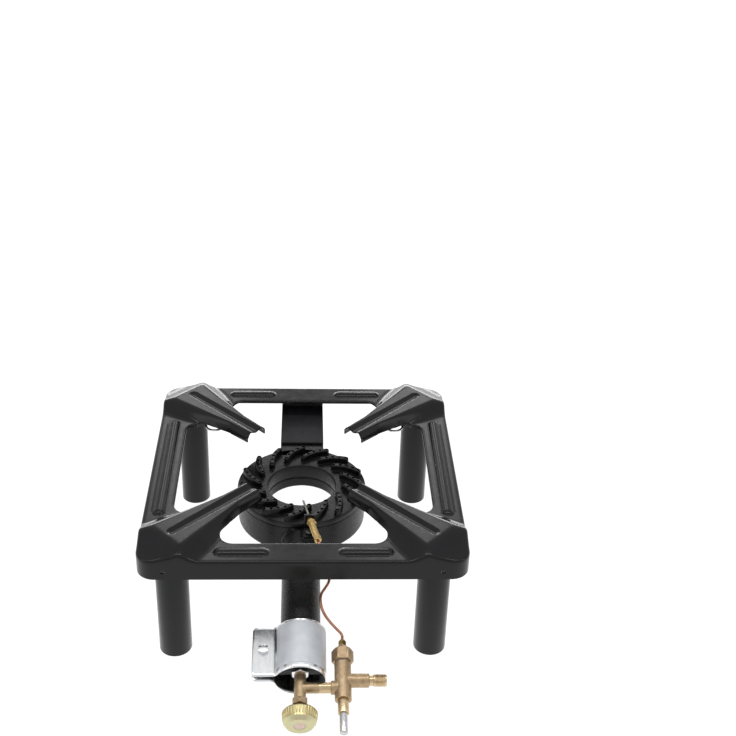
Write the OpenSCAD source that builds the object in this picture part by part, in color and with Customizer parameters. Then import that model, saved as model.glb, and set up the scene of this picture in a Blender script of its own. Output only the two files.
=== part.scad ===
// Wok burner: a pressed-steel gas stool with a cast ring burner and a thermocouple safety valve.
// Millimetres. The origin is on the floor under the middle of the frame, +Z up, the knob to the front at -Y.

/* [Frame] */
// Outside width of the square frame
frame_w = 350; // [335:1:380]
// Plan radius of the frame's corners
frame_corner_r = 20; // [16:1:26]
// Height of the arm tops, where the pan rests
support_z = 157; // [150:0.5:165]
// Height of the arm tops above the rails
arm_rise = 12; // [10:0.5:14]
// Height of the skirt, from its lower edge to the rails' flat top
skirt_h = 23; // [20:0.5:27]
// Thickness of the pressed sheet
sheet_t = 1.5; // [1:0.1:2]
// Width of a rail, from the skirt to the window
rail_w = 32.5; // [28:0.5:36]
// Radius of the fold from rail to skirt
fold_r = 6; // [4:0.5:8]
// Depth of the lip folded down round the windows
lip_h = 8; // [5:0.5:10]
// Radius of the window corners
window_r = 15; // [10:0.5:18]

/* [Arms] */
// Distance of the arm ends from the middle
arm_end_u = 82; // [78:0.5:90]
// Distance of the knee, where an arm starts to widen, from the middle
arm_knee_u = 115; // [105:1:125]
// Half width of an arm's foot at its end
arm_end_foot = 14.5; // [13:0.25:17]
// Half width of an arm's top at its end
arm_end_top = 10.3; // [9:0.1:12]
// Widening of an arm from its end to the knee, per side
arm_knee_gain = 1.5; // [0.5:0.25:3]
// Widening of the corner hump, in mm per mm
hump_flare = 0.226; // [0.18:0.01:0.26]
// Distance of the hump's ridge from the frame's square corner
ridge_inset = 35.5; // [33:0.5:41]
// Fall of the corner facet outside the ridge, in mm per mm
facet_fall = 0.6; // [0.5:0.05:0.7]
// Radius of the arm's shoulders
shoulder_r = 3; // [1.5:0.25:4]
// Depth of the groove at the arm's end
groove_d = 4.5; // [3:0.25:5]
// Width of the groove at the arm's end
groove_w = 16; // [12:0.5:17]
// Depth of the groove at its outer end
groove_tail_d = 2; // [1.5:0.25:2.5]
// Width of the groove at its outer end
groove_tail_w = 5; // [4:0.5:7]
// Distance of the groove's outer end from the hump's ridge
groove_stop = 16; // [14:1:32]
// Height of the arm's side wall at its end
arm_wall_h = 11; // [9:0.5:14]

/* [Beads and holes] */
// Width of the stiffening beads
bead_w = 10; // [8:0.5:12]
// Height of the beads
bead_h = 2.6; // [2:0.1:3]
// Distance from the frame's outer face to a bead's middle line
bead_inset = 17; // [14:0.5:19]
// Start of the front and back beads from the middle
bead_start = 39; // [30:1:50]
// End of the front and back beads from the middle
bead_end = 94; // [80:1:98]
// Half length of the side beads
side_bead_half = 95; // [80:1:98]
// Diameter of the holes in the front and back skirt
skirt_hole_d = 5; // [4:0.25:6]
// Distance of those holes from the frame's side
skirt_hole_inset = 29; // [26:0.5:36]
// Height of those holes above the skirt's lower edge
skirt_hole_h = 10; // [7:0.5:12]

/* [Legs] */
// Outside diameter of a leg tube
leg_d = 35.5; // [32:0.5:38]
// Wall of a leg tube
leg_wall = 2; // [1.5:0.1:3]
// Distance of a leg's axis from the frame's outer faces
leg_inset = 34; // [32:0.5:36]
// Thickness of the corner plates that hold the legs
bracket_t = 2; // [1.5:0.1:3]
// Gap between the lips and the corner plates
bracket_gap = 1; // [0.5:0.25:2]
// Depth of the ring screws below the corner plates
ring_screw_drop = 6.5; // [6:0.25:8]
// Depth of a corner plate's turned-down tab below the ring screws
tab_under = 5.5; // [4.5:0.25:6]
// Width of that tab
tab_w = 24; // [18:1:28]
// Thread diameter of the ring screws
ring_screw_d = 6; // [5:0.5:8]
// Mean diameter of the ring on a ring screw
ring_d = 21; // [16:0.5:24]
// Wire diameter of that ring
ring_wire_d = 3; // [2.5:0.1:4]

/* [Burner] */
// Sideways place of the burner
burner_x = -3; // [-6:0.5:6]
// Outside radius of the burner ring
ring_r = 74; // [70:0.5:78]
// Radius of the hole through the ring
hole_r = 39.5; // [36:0.1:42]
// Depth of the cap's flat top below the arm tops
cap_drop = 39; // [36:0.5:42]
// Whole height of the ring, without the ribs
ring_h = 42; // [38:0.5:46]
// Height of the hole's lower rim above the ring's underside
rim_rise = 12; // [6:0.5:14]
// Thickness of the cap at its outer edge
cap_t = 7; // [6:0.25:9]
// Depth of the cap's wall round the hole
bore_wall_h = 17; // [12:0.5:20]
// Wall of the castings
cast_wall = 5; // [4:0.25:5.5]
// Number of ribs on the cap
rib_count = 15; // [12:1:16]
// Height of the ribs
rib_h = 7; // [5:0.25:8]
// Width of the ribs
rib_w = 6; // [5:0.25:6.5]
// Distance from the hole to the middle of a rib's inner end
rib_in_gap = 9.5; // [8:0.25:12]
// Distance from the ring's outside to the middle of a rib's outer end
rib_out_gap = 4; // [3.5:0.25:6]
// Angle of the first rib's outer end
rib_out_angle = 89; // [80:0.5:100]
// Angle that a rib sweeps from its outer to its inner end
rib_sweep = 23; // [18:0.5:26]
// Radius of a rib's middle line
rib_curve_r = 42; // [36:1:60]
// Flame ports in each rib
port_count = 5; // [4:1:6]
// Diameter of a flame port
port_d = 2.8; // [2:0.1:3]

/* [Mixing tube] */
// Slope of the mixing tube, falling to the front
tube_tilt = 15; // [12:0.5:16]
// Depth of the tube's axis below the cap, at the ring's front
tube_drop = 28; // [26:0.5:30]
// Outside radius of the mixing tube
tube_r = 21.2; // [20:0.1:21.6]
// Wall of the mixing tube
tube_wall = 4; // [3:0.25:5]
// Distance along the axis to the mouth's collar
mouth_s = 114; // [110:0.5:118]
// Radius of the collar that carries the shutter
collar_r = 25.7; // [25:0.1:27]
// Length of the collar
collar_l = 8; // [6:0.5:10]
// Drop of the collar's middle below the tube's axis
collar_drop = 4; // [2:0.25:4.5]
// Distance along the axis to the bridge's front face
bridge_s = 162; // [158:0.5:164]
// Thickness of the bridge
bridge_t = 8; // [6:0.5:10]

/* [Air shutter] */
// Clearance between collar and shutter
shutter_gap = 0.3; // [0.3:0.05:0.5]
// Sheet thickness of the shutter
shutter_t = 1; // [0.8:0.1:1.5]
// Length of the shutter
shutter_l = 58; // [50:0.5:59]
// Distance along the axis to the shutter's rear edge
shutter_s = 114; // [112:0.5:115]
// Gap between the two clamp leaves
leaf_gap = 9; // [6:0.25:11]
// Reach of the leaves from the tube's axis
leaf_reach = 50; // [46:0.5:54]
// Bend radius where a leaf leaves the round part
leaf_bend_r = 6; // [4:0.5:8]
// Distance of the clamp bolt from the tube's axis
clamp_x = 38.5; // [36:0.5:42]
// Distance of the clamp bolt from the shutter's rear edge
clamp_l = 27.5; // [20:0.5:35]
// Thread diameter of the clamp bolt
clamp_d = 6; // [5:0.5:6]

/* [Control valve] */
// Radius of the valve body
valve_r = 6.2; // [6:0.1:7]
// Radius of the threaded tail through the bridge
tail_r = 5; // [4.5:0.1:5.5]
// Width across flats of the lock nut
lock_nut_af = 17; // [15:0.5:19]
// Thickness of the lock nut
lock_nut_t = 6; // [5:0.5:7]
// Distance along the axis to the cross pipe
cross_s = 182.5; // [181:0.5:184]
// Radius of the cross pipe
cross_r = 5.65; // [5:0.05:6]
// Distance along the axis to the valve body's front face
valve_front_s = 195.5; // [194:0.5:197]
// Width across flats of the gland nut
gland_af = 15; // [14:0.5:17]
// Length of the gland nut's hexagon
gland_t = 7; // [6:0.5:8]
// Radius of the spindle
spindle_r = 3; // [2.5:0.1:3.2]
// Distance along the axis to the knob's rear face
knob_s = 209; // [208:0.5:212]
// Length of the knob
knob_l = 17; // [14:0.5:20]
// Radius of the knob at the rear
knob_rear_r = 18.5; // [16:0.25:20]
// Radius of the knob at its face
knob_face_r = 17; // [15:0.25:18]
// Number of flutes round the knob
knob_flutes = 36; // [24:2:40]

/* [Safety valve] */
// Distance from the control valve's axis to the safety valve's axis
safety_x = 44; // [42:0.5:48]
// Radius of the safety valve's body
safety_r = 8.7; // [8.5:0.1:9.5]
// Distance along the axis to the body's rear face
safety_rear_s = 154.5; // [153:0.5:156]
// Distance along the axis to the body's front face
safety_front_s = 197; // [195:0.5:199]
// Width across flats of the bonnet
bonnet_af = 20; // [19:0.5:22]
// Length of the bonnet's hexagon
bonnet_l = 14; // [12:0.5:16]
// Length of the bonnet's neck
bonnet_neck_l = 4.5; // [3:0.5:6]
// Distance along the axis to the inlet
inlet_s = 174.5; // [174:0.25:175]
// Radius of the inlet boss
inlet_boss_r = 7.2; // [7:0.1:7.5]
// Reach of the inlet boss from the safety valve's axis
inlet_boss_l = 27; // [24:0.5:30]
// Outside radius of the inlet's quarter-inch gas thread
inlet_thread_r = 6.58; // [6.4:0.01:6.7]
// Length of the inlet thread
inlet_thread_l = 13.5; // [11:0.5:15]
// Length of the neck before the thread
inlet_neck_l = 4.5; // [3:0.5:6]
// Radius of the push button's guide
guide_r = 5.85; // [5.6:0.05:6.5]
// Length of the guide outside the body
guide_l = 15; // [12:0.5:16]
// Radius of the push button
button_r = 4.25; // [4:0.05:4.4]
// Length of the push button outside the guide
button_l = 22; // [18:0.5:24]
// Travel of the push button
button_travel = 6; // [4:0.5:6]

/* [Thermocouple] */
// Radius of the thermocouple's sleeve
sleeve_r = 4; // [3.5:0.1:4.5]
// Length of the sleeve
sleeve_l = 35; // [30:0.5:38]
// Radius of the sensing tip
tip_r = 1.2; // [1:0.1:1.6]
// Length of the tip beyond the sleeve
tip_l = 26; // [20:0.5:28]
// Radius of the copper lead
lead_r = 1.5; // [1:0.1:1.8]
// Diameter of the screw that holds the bracket
bracket_screw_d = 5; // [4:0.5:5]

/* [Rear strap] */
// Width of the strap
strap_w = 52; // [44:1:56]
// Thickness of the strap
strap_t = 3; // [3:0.25:4]
// Gap between the strap's turned-up end and the fold above it
strap_top_gap = 2; // [1:0.5:4]
// Distance from the burner ring to the strap's front end
strap_gap = 10.5; // [6:0.5:14]
// Length of the strap's seat on the burner's lugs
lug_l = 24; // [20:1:28]
// Thread diameter of the strap's screws
strap_screw_d = 6; // [5:0.5:6]
// Distance between the two screws
strap_screw_pitch = 30; // [24:1:34]

/* [Hidden] */
$fn = 64;
cut = 1;             // overlap of a cut past the face it opens
join = 0.01;         // overlap that makes two shapes one solid
far = 200;           // reach of a cutting block past the whole piece
fit = 0.1;           // clearance of a thread or a pin in its hole
run = 0.3;           // clearance between pieces that move on each other
slim = 0.05;         // play between round pieces that guide each other

// Screws and nuts, per thread diameter
nut_height = 0.8;
head_height = 0.7;
flats = 1.667;
thread_over = 2;     // thread that stands out of a nut

// Frame
frame_half = frame_w / 2;
rail_z = support_z - arm_rise;
skirt_z = rail_z - skirt_h;
rail_in = frame_half - rail_w;
lip_z = rail_z - lip_h;
lip_inset = 10;      // from the skirt's face to the space that ends the lips
corner_angles = [45, 135, 225, 315];

// Arms: distances along the diagonal and across it
arm_knee_foot = arm_end_foot + arm_knee_gain;
hump_far_u = frame_half * sqrt(2);
ridge_u = hump_far_u - ridge_inset;
groove_tail_u = ridge_u - groove_stop;
side_lean = (arm_end_foot - arm_end_top) / arm_rise;
flare_angle = atan(hump_flare);
wall_end_z = support_z - arm_wall_h;
wall_fall_over = 20; // length past the knee where the side walls reach full depth
wall_fall_l = arm_knee_u + wall_fall_over - arm_end_u;

// Window corner: the middle of its round lies the same distance from the rail and from the arm's flank
window_cy = rail_in - window_r;
window_cx = (window_cy * (1 - hump_flare) / sqrt(2) - arm_knee_foot + arm_knee_u * hump_flare
    - window_r / cos(flare_angle)) * sqrt(2) / (1 + hump_flare);

// Legs stop just under the corner facet
leg_u = (frame_half - leg_inset) * sqrt(2);
leg_top_z = support_z - facet_fall * (leg_u + leg_d / 2 - ridge_u)
    - sheet_t * sqrt(1 + facet_fall * facet_fall) - run;
bracket_z = lip_z - bracket_gap - bracket_t;
tab_gap = 6;         // from a leg to its plate's tab
tab_u = leg_u - leg_d / 2 - tab_gap;
ring_screw_z = bracket_z - ring_screw_drop;
tab_h = bracket_t + ring_screw_drop + tab_under;
weld_nut_t = ring_screw_d * nut_height;
ring_neck = 3;       // from the welded nut to the ring's middle line
ring_u = tab_u - weld_nut_t - ring_neck - ring_d / 2;

// Burner
cap_z = support_z - cap_drop;
ring_base_z = cap_z - ring_h;
rim_z = ring_base_z + rim_rise;
outer_joint_z = cap_z - cap_t;
inner_joint_z = cap_z - bore_wall_h;
cap_over = 0.5;      // overhang of the cap past the base
cap_r = ring_r + cap_over;
chamber_r = ring_r - cast_wall;
inner_wall_r = hole_r + cast_wall;
register_h = 3;      // lip of the cap that centres it in the base
register_t = 3;
tube_y = -ring_r;
tube_z = cap_z - tube_drop;
tube_bore = tube_r - tube_wall;
tube_start_s = inner_wall_r + cast_wall - ring_r;
bore_start_s = tube_start_s + tube_wall;
bar_t = 5;           // side bars of the bridge
bar_h = 12;
bar_inset = 1;       // from the side bars to the collar's outline
bar_x = sqrt(collar_r * collar_r - bar_h * bar_h / 4) - bar_t - bar_inset;
boss_r = 9;
lug_t = 13;          // lug of the base, under the cap's lug
lug_root = 14;       // depth of the lugs' roots in the ring

// Rib middle line: an arc through both ends
function polar(r, a) = [r * cos(a), r * sin(a)];
rib_in_r = hole_r + rib_in_gap;
rib_out_r = ring_r - rib_out_gap;
rib_p_in = polar(rib_in_r, rib_out_angle + rib_sweep);
rib_p_out = polar(rib_out_r, rib_out_angle);
rib_chord = norm(rib_p_out - rib_p_in);
rib_dir = atan2(rib_p_out[1] - rib_p_in[1], rib_p_out[0] - rib_p_in[0]);
rib_mid = (rib_p_in + rib_p_out) / 2;
rib_c = rib_mid + polar(sqrt(rib_curve_r * rib_curve_r - rib_chord * rib_chord / 4), rib_dir - 90);
rib_half_angle = asin(rib_chord / 2 / rib_curve_r);

// Rear strap
strap_front_y = ring_r + strap_gap;
lug_reach = strap_front_y + lug_l;
strap_back_y = frame_half - sheet_t;
strap_top_z = rail_z - fold_r - strap_top_gap;
strap_bend_r = strap_t + 2;
strap_bolt_z = (cap_z + strap_bend_r + strap_top_z) / 2;
lug_screw_l = cap_t + lug_t;     // below the strap
lug_screw_bite = 0.7 * strap_t;  // blind thread in the strap

// Shutter
shutter_in_r = collar_r + shutter_gap;
shutter_r = shutter_in_r + shutter_t;
leaf_face = leaf_gap / 2 + shutter_t;
leaf_corner_r = 4;
bend_bite = 0.1;     // depth by which a leaf's bend cuts into the round part and the leaf
leaf_mid = collar_drop;  // the leaves lie level with the tube's axis
leaf_bend_y = [for (m = [1, -1]) leaf_mid + m * (leaf_face + leaf_bend_r - bend_bite)];
leaf_bends = [for (y = leaf_bend_y) [-sqrt(pow(shutter_r + leaf_bend_r - bend_bite, 2) - y * y), y]];

// Control valve
tail_over = 2;       // tail that stands out behind the bridge
tail_rear_s = bridge_s - bridge_t - tail_over;
tail_bore = 2.2;
lock_nut_front_s = bridge_s + lock_nut_t;
jet_l = 12;          // injector: whole length, nose, hexagon, spigot and bores
jet_nose_l = 5;
jet_nose_r = 3.5;
jet_af = 11;
jet_spigot_l = 5;
jet_spigot_r = 3;
jet_bore = 1.8;
jet_hole_r = 0.6;
seat_l = 6;          // from the lock nut to the needle's seat
seat_s = lock_nut_front_s + seat_l;
seat_t = 3;
seat_r = 1.5;
needle_l = 3;
needle_r = 0.9;
valve_bore = spindle_r + 0.6;
packing_r = valve_r - 1.2;
packing_t = 4;
pilot_l = 1;         // pilot of the gland nut on the packing
gland_hub_l = 4;
gland_hub_r = 5.5;
gland_front_s = valve_front_s + gland_t + gland_hub_l;

// Knob
knob_front_s = knob_s + knob_l;
knob_edge = 2;
knob_bevel_l = 4.5;  // bevel round the face
knob_bevel_w = 3.5;
knob_hub_r = 7;
knob_hollow_d = 5;
knob_rim = 3.5;
dish_r = 7.5;
dish_d = 0.6;
knob_screw_r = 5.8;
knob_screw_t = 3;
knob_screw_crown = 0.4;
flute_r = 0.9;
flute_front = 6;     // plain rim in front of the flutes

// Pipe between the two valves
pipe_bore = 2.5;
pipe_joint_l = 6;    // length of its spigots
pipe_joint_r = cross_r - 1.5;
nipple_l = 12.8;
socket_r = cross_r + 1.4;
socket_l = 12.5;
branch_end_x = safety_x - socket_l - nipple_l;

// Safety valve
web_s = inlet_s + 3.2;
web_t = 1.6;
rear_chamber_r = 6.2;
front_chamber_r = 4.6;
outlet_hole_r = 2.2;
disc_r = 5;
disc_t = 2;
stem_r = 1.5;
seat_hole_r = 2.5;
guide_screw_r = 5;
guide_screw_l = 8;
guide_rear_s = safety_front_s - guide_screw_l;
guide_floor_t = 1.5;
guide_front_s = safety_front_s + guide_l;
button_hold = 5;     // length of the button inside its guide
button_rear_s = guide_front_s - button_hold;
button_front_s = guide_front_s + button_l;
button_dome = 1;
spring_r = button_r - 0.4;
spring_bore = stem_r + 0.6;
gasket_t = 1;
gasket_inset = 0.2;
bonnet_front_s = safety_rear_s - gasket_t;
bonnet_rear_s = bonnet_front_s - bonnet_l;
bonnet_screw_l = 5;
neck_s = bonnet_rear_s - bonnet_neck_l;
neck_rear_r = 5.4;
neck_front_r = 8;
magnet_r = 5.2;
magnet_gap = 1;      // room between magnet and valve disc when the button is pushed in
magnet_front_s = web_s - disc_t - button_travel - magnet_gap;
magnet_rear_s = bonnet_rear_s + 3;
magnet_floor_s = magnet_rear_s + 6;
inlet_bore = 3;
inlet_hole_r = 2.5;
inlet_spigot_l = 8;
inlet_spigot_r = 5;
inlet_neck_r = inlet_thread_r - 1.2;

// Thermocouple nut
thermo_nut_r = 4.6;
thermo_nut_l = 8;
thermo_nut_s = neck_s - thermo_nut_l;
thermo_hub_l = 2;
thermo_hub_r = 3.2;
thermo_screw_r = 3.6;

// Thermocouple: the sleeve's upper end, and the turn and fall of its axis
sleeve_x = 6;
sleeve_rise = 8;     // height of the sleeve's upper end above the cap
sleeve_top = [sleeve_x, -ring_r, cap_z + sleeve_rise];
sleeve_turn = 16;
sleeve_fall = 11;
sleeve_nose = 1;
sleeve_hex_l = 5;
sleeve_collar_d = 5.6;   // distance down the sleeve to the collar that stops against the upright
sleeve_collar_t = 4;
sleeve_collar_r = sleeve_r + 1.2;
tip_seat = 2;

// Pad on the mixing tube, and the bracket on it
pad_drop = 6;        // depth of the pad below the cap's top
pad_z = cap_z - pad_drop;
pad_l = 19;
pad_w = 17;
thermo_bracket_t = 2;
thermo_bracket_w = 12;
upright_gap = 1.5;   // from the burner ring to the upright
upright_y = -ring_r - upright_gap - thermo_bracket_t;
upright_over = 2;    // metal over the sleeve's hole
upright_top_z = sleeve_top[2] + sleeve_r + upright_over;
pad_screw_y = (upright_y - ring_r - pad_l) / 2;
pad_screw_l = 8;
pan_head_h = 2.6;
pan_head_d = 1.7 * bracket_screw_d;

// Copper lead from the sleeve to the nut: places along the tube, to the right of it and above it
lead_seat = 3;       // length of the lead inside the sleeve
lead_end_s = thermo_nut_s + 6;
lead_route = [[46, 27, 34], [59.5, 31, 29.5], [69, 30, 24.5], [76, 26, 22.5], [83, 22, 22], [90.5, 21, 20.5],
    [98.5, 22.5, 18], [105, 26, 14.5], [110, 31, 10], [114.5, 37, 5], [118, 42, 1.5]];

// Points of an arc from angle a to angle b
function arc(c, r, a, b, n = 6) = [for (i = [0:n]) c + polar(r, a + (b - a) * i / n)];

// Draws along one frame diagonal: x away from the middle, y across
module on_diagonals() for (a = corner_angles) rotate(a) children();

// Draws along the mixing tube: z down the tube to the front, y up, x to the right
module along_tube() translate([burner_x, tube_y, tube_z]) rotate([90 + tube_tilt, 0, 0]) children();

// Draws along the safety valve, which lies parallel to the tube
module along_safety() along_tube() translate([safety_x, 0, 0]) children();

// Turned length from s to e
module bar(s, e, r) translate([0, 0, s]) cylinder(h = e - s, r = r);

// Hexagon from s to e
module hex_bar(s, e, af) translate([0, 0, s]) rotate(30) cylinder(h = e - s, r = af / sqrt(3), $fn = 6);

// Round bar lying along x
module side_bar(x0, x1, r) translate([x0, 0, 0]) rotate([0, 90, 0]) cylinder(h = x1 - x0, r = r);

// Square with round corners, from true circles
module round_square(w, r) {
    square([w, w - 2 * r], center = true);
    square([w - 2 * r, w], center = true);
    for (x = [-1, 1], y = [-1, 1]) translate([x, y] * (w / 2 - r)) circle(r);
}

// Block with round plan corners and a rounded top edge
module folded_block(w, r, z0, z1, fold) {
    edge = w / 2 - r;
    translate([0, 0, z0]) linear_extrude(z1 - z0 - fold) round_square(w, r);
    translate([0, 0, z0]) linear_extrude(z1 - z0) round_square(w - 2 * fold, r - fold);
    for (a = [0:90:270]) rotate(a) {
        translate([w / 2 - fold, 0, z1 - fold]) rotate([90, 0, 0])
            cylinder(h = 2 * edge, r = fold, center = true);
        translate([edge, edge, z1 - fold]) rotate_extrude() {
            translate([r - fold, 0]) circle(fold);
            translate([0, -fold]) square([r - fold, 2 * fold]);
        }
    }
}

// One window between two arms, seen from above and grown by g
module window_2d(g) {
    r = window_r + g;
    tangent = [window_cx, -window_cy] + polar(r, 45 - flare_angle);
    knee = diagonal_point(arm_knee_u, arm_knee_foot - g);
    tip = diagonal_point(arm_end_u - cut, arm_end_foot - g);
    half = [[window_cx, -rail_in - g], tangent, knee, tip];
    polygon(concat(half, [for (i = [3:-1:0]) [-half[i][0], half[i][1]]]));
    for (x = [-1, 1]) translate([x * window_cx, -window_cy]) circle(r);
}

// Point at distance u along the front right diagonal and v to its front side
function diagonal_point(u, v) = [u - v, -u - v] / sqrt(2);

// The opening inside the rails, round the four arms
module opening_2d(g, tip_u) {
    for (a = [0:90:270]) rotate(a) window_2d(g);
    rotate(45) square(2 * tip_u, center = true);
}

// Section of an arm: straight lip, leaning flank and round shoulder
module arm_section(foot, top, z1) {
    lean = atan(side_lean);
    reach = shoulder_r * tan(45 - lean / 2);
    shoulder = arc([top - reach, z1 - shoulder_r], shoulder_r, lean, 90);
    half = concat([[foot, lip_z], [foot, rail_z]], shoulder);
    n = len(half);
    polygon(concat(half, [for (i = [n - 1:-1:0]) [-half[i][0], half[i][1]]]));
}

// One arm and its corner hump; g is the distance inside the outer face, start the arm's end
module arm_body(g, start) {
    inset = g * sqrt(1 + side_lean * side_lean);
    end_foot = arm_end_foot - inset;
    knee_foot = arm_knee_foot - inset;
    far_foot = arm_knee_foot + (hump_far_u - arm_knee_u) * hump_flare - inset;
    end_top = arm_end_top - inset + g * side_lean;
    knee_top = end_top * knee_foot / end_foot;
    translate([start, 0, 0]) rotate([90, 0, 90])
        linear_extrude(arm_knee_u - start, scale = [knee_foot / end_foot, 1], slices = 1)
            arm_section(end_foot, end_top, support_z - g);
    translate([arm_knee_u - join, 0, 0]) rotate([90, 0, 90])
        linear_extrude(hump_far_u - arm_knee_u, scale = [far_foot / knee_foot, 1], slices = 1)
            arm_section(knee_foot, knee_top, support_z - g);
}

// Radius of a round cut or bead of the given width and depth
function segment_r(w, d) = (w * w / 4 + d * d) / (2 * d);

// Tapered groove along an arm's top, grown by g
module groove(g) {
    r0 = segment_r(groove_w, groove_d);
    r1 = segment_r(groove_tail_w, groove_tail_d);
    z0 = support_z + r0 - groove_d;
    z1 = support_z + r1 - groove_tail_d;
    run_l = groove_tail_u - arm_end_u;
    fall = atan((z0 - z1) / run_l);
    length = run_l / cos(fall);
    over = 4;
    grow = (r0 - r1) / length * over;
    translate([arm_end_u, 0, z0]) rotate([0, 90 + fall, 0]) {
        translate([0, 0, -over]) cylinder(h = length + over, r1 = r0 + grow + g, r2 = r1 + g);
        translate([0, 0, length]) sphere(r1 + g);
    }
}

// Space outside the corner facet, g inside its face
module facet_cut(g) {
    translate([ridge_u, 0, support_z]) rotate([0, atan(facet_fall), 0])
        translate([-far / 2, -far / 2, -g]) cube(far);
}

// Half-round bead between two points of the rail, g inside its outer face
module bead(p, q, g) {
    r = segment_r(bead_w, bead_h);
    z = rail_z + bead_h - r;
    d = q - p;
    translate([p[0], p[1], z]) rotate([0, 90, atan2(d[1], d[0])]) cylinder(h = norm(d), r = r - g);
    for (e = [p, q]) translate([e[0], e[1], z]) sphere(r - g);
}

module beads(g) {
    y = frame_half - bead_inset;
    for (m = [-1, 1]) {
        for (x = [-1, 1]) bead([x * bead_start, m * y], [x * bead_end, m * y], g);
        bead([m * y, -side_bead_half], [m * y, side_bead_half], g);
    }
}

// The pressed form, g inside its outer face; z0 is where it ends below
module frame_form(g, z0, tip_u) {
    w = frame_w - 2 * g;
    difference() {
        union() {
            difference() {
                folded_block(w, frame_corner_r - g, z0, rail_z - g, fold_r - g);
                translate([0, 0, z0 - cut]) linear_extrude(far) opening_2d(g, tip_u);
            }
            intersection() {
                folded_block(w, frame_corner_r - g, skirt_z - cut, support_z - g, fold_r - g);
                on_diagonals() arm_body(g, tip_u);
            }
            beads(g);
        }
        on_diagonals() {
            groove(g);
            facet_cut(g);
        }
    }
}

// Pressed top: skirt, rails, lips, humps and grooved arms from one sheet
module top_frame() {
    color("#26282b") difference() {
        frame_form(0, skirt_z, arm_end_u);
        frame_form(sheet_t, skirt_z - cut, arm_end_u - cut);
        // the lips end well above the skirt
        translate([0, 0, skirt_z - cut]) linear_extrude(lip_z - skirt_z + cut)
            round_square(frame_w - 2 * lip_inset, frame_corner_r - lip_inset / 2);
        // an arm's side walls get lower towards its end
        on_diagonals() translate([arm_end_u, 0, wall_end_z])
            rotate([0, atan((wall_end_z - lip_z) / wall_fall_l), 0])
                translate([-cut, -2 * arm_knee_foot, -far])
                    cube([wall_fall_l + cut, 4 * arm_knee_foot, far]);
        for (x = [-1, 1], y = [-1, 1])
            translate([x * (frame_half - skirt_hole_inset), y * frame_half, skirt_z + skirt_hole_h])
                rotate([90, 0, 0]) cylinder(h = 4 * sheet_t, d = skirt_hole_d, center = true);
        // bolt holes of the rear strap
        strap_bolt_places() cylinder(h = 4 * sheet_t, d = strap_screw_d + 2 * fit, center = true);
    }
}

// Tube leg, open at both ends
module leg(sx, sy) {
    p = frame_half - leg_inset;
    color("#23252a") translate([sx * p, sy * p, 0]) difference() {
        cylinder(h = leg_top_z, d = leg_d);
        translate([0, 0, -cut]) cylinder(h = leg_top_z + 2 * cut, d = leg_d - 2 * leg_wall);
    }
}

module leg_front_left() leg(-1, -1);
module leg_front_right() leg(1, -1);
module leg_back_left() leg(-1, 1);
module leg_back_right() leg(1, 1);

// Corner plates with a hole for the leg, a turned-down tab and a welded nut for the ring screw
module leg_brackets() color("#2b2d30") on_diagonals() difference() {
    union() {
        intersection() {
            rotate(-45) translate([0, 0, bracket_z]) linear_extrude(bracket_t)
                round_square(frame_w - 2 * (sheet_t + fit), frame_corner_r - sheet_t - fit);
            translate([tab_u, -far / 2, bracket_z - cut]) cube([far, far, bracket_t + 2 * cut]);
        }
        translate([tab_u, -tab_w / 2, bracket_z + bracket_t - tab_h]) cube([bracket_t, tab_w, tab_h]);
        translate([tab_u - weld_nut_t, 0, ring_screw_z]) rotate([0, 90, 0])
            hex_bar(0, weld_nut_t + cut, ring_screw_d * flats);
    }
    translate([leg_u, 0, bracket_z - cut]) cylinder(h = bracket_t + 2 * cut, d = leg_d + 2 * fit);
    translate([tab_u - weld_nut_t - cut, 0, ring_screw_z])
        side_bar(0, weld_nut_t + bracket_t + 2 * cut, ring_screw_d / 2 + fit);
}

// Ring-headed screws that clamp the legs
module ring_screws() color("#c9ccd0") on_diagonals() translate([0, 0, ring_screw_z]) {
    translate([ring_u, 0, 0]) rotate_extrude() translate([ring_d / 2, 0]) circle(d = ring_wire_d);
    side_bar(ring_u + ring_d / 2, leg_u - leg_d / 2 - fit, ring_screw_d / 2);
}

// Places of the strap's bolts in the back skirt, each along +Y
module strap_bolt_places()
    for (x = [-1, 1])
        translate([burner_x + x * strap_screw_pitch / 2, frame_half - sheet_t / 2, strap_bolt_z])
            rotate([-90, 0, 0]) children();

// Places of the screws in the burner's lugs, at the strap's underside
module lug_screw_places()
    for (x = [-1, 1])
        translate([burner_x + x * strap_screw_pitch / 2, (strap_front_y + lug_reach) / 2, cap_z])
            children();

// Section of the strap: flat on the burner's lugs, then bent up inside the back skirt
module strap_section() {
    bend = [strap_back_y - strap_bend_r, cap_z + strap_bend_r];
    polygon(concat([[strap_front_y, cap_z + strap_t], [strap_front_y, cap_z]],
        arc(bend, strap_bend_r, -90, 0),
        [[strap_back_y, strap_top_z], [strap_back_y - strap_t, strap_top_z]],
        arc(bend, strap_bend_r - strap_t, 0, -90)));
}

module rear_strap() color("#2a2c2f") difference() {
    translate([burner_x, 0, 0]) rotate([90, 0, 90]) linear_extrude(strap_w, center = true) strap_section();
    lug_screw_places() bar(-cut, lug_screw_bite, strap_screw_d / 2 + fit);
    strap_bolt_places() cylinder(h = 4 * strap_t, d = strap_screw_d + 2 * fit, center = true);
}

// Screws from below through both lugs into the strap, which hold base, cap and strap together
module strap_lug_screws() color("#9da1a6") lug_screw_places() {
    bar(-lug_screw_l - join, lug_screw_bite - fit, strap_screw_d / 2);
    hex_bar(-lug_screw_l - strap_screw_d * head_height, -lug_screw_l, strap_screw_d * flats);
}

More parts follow.
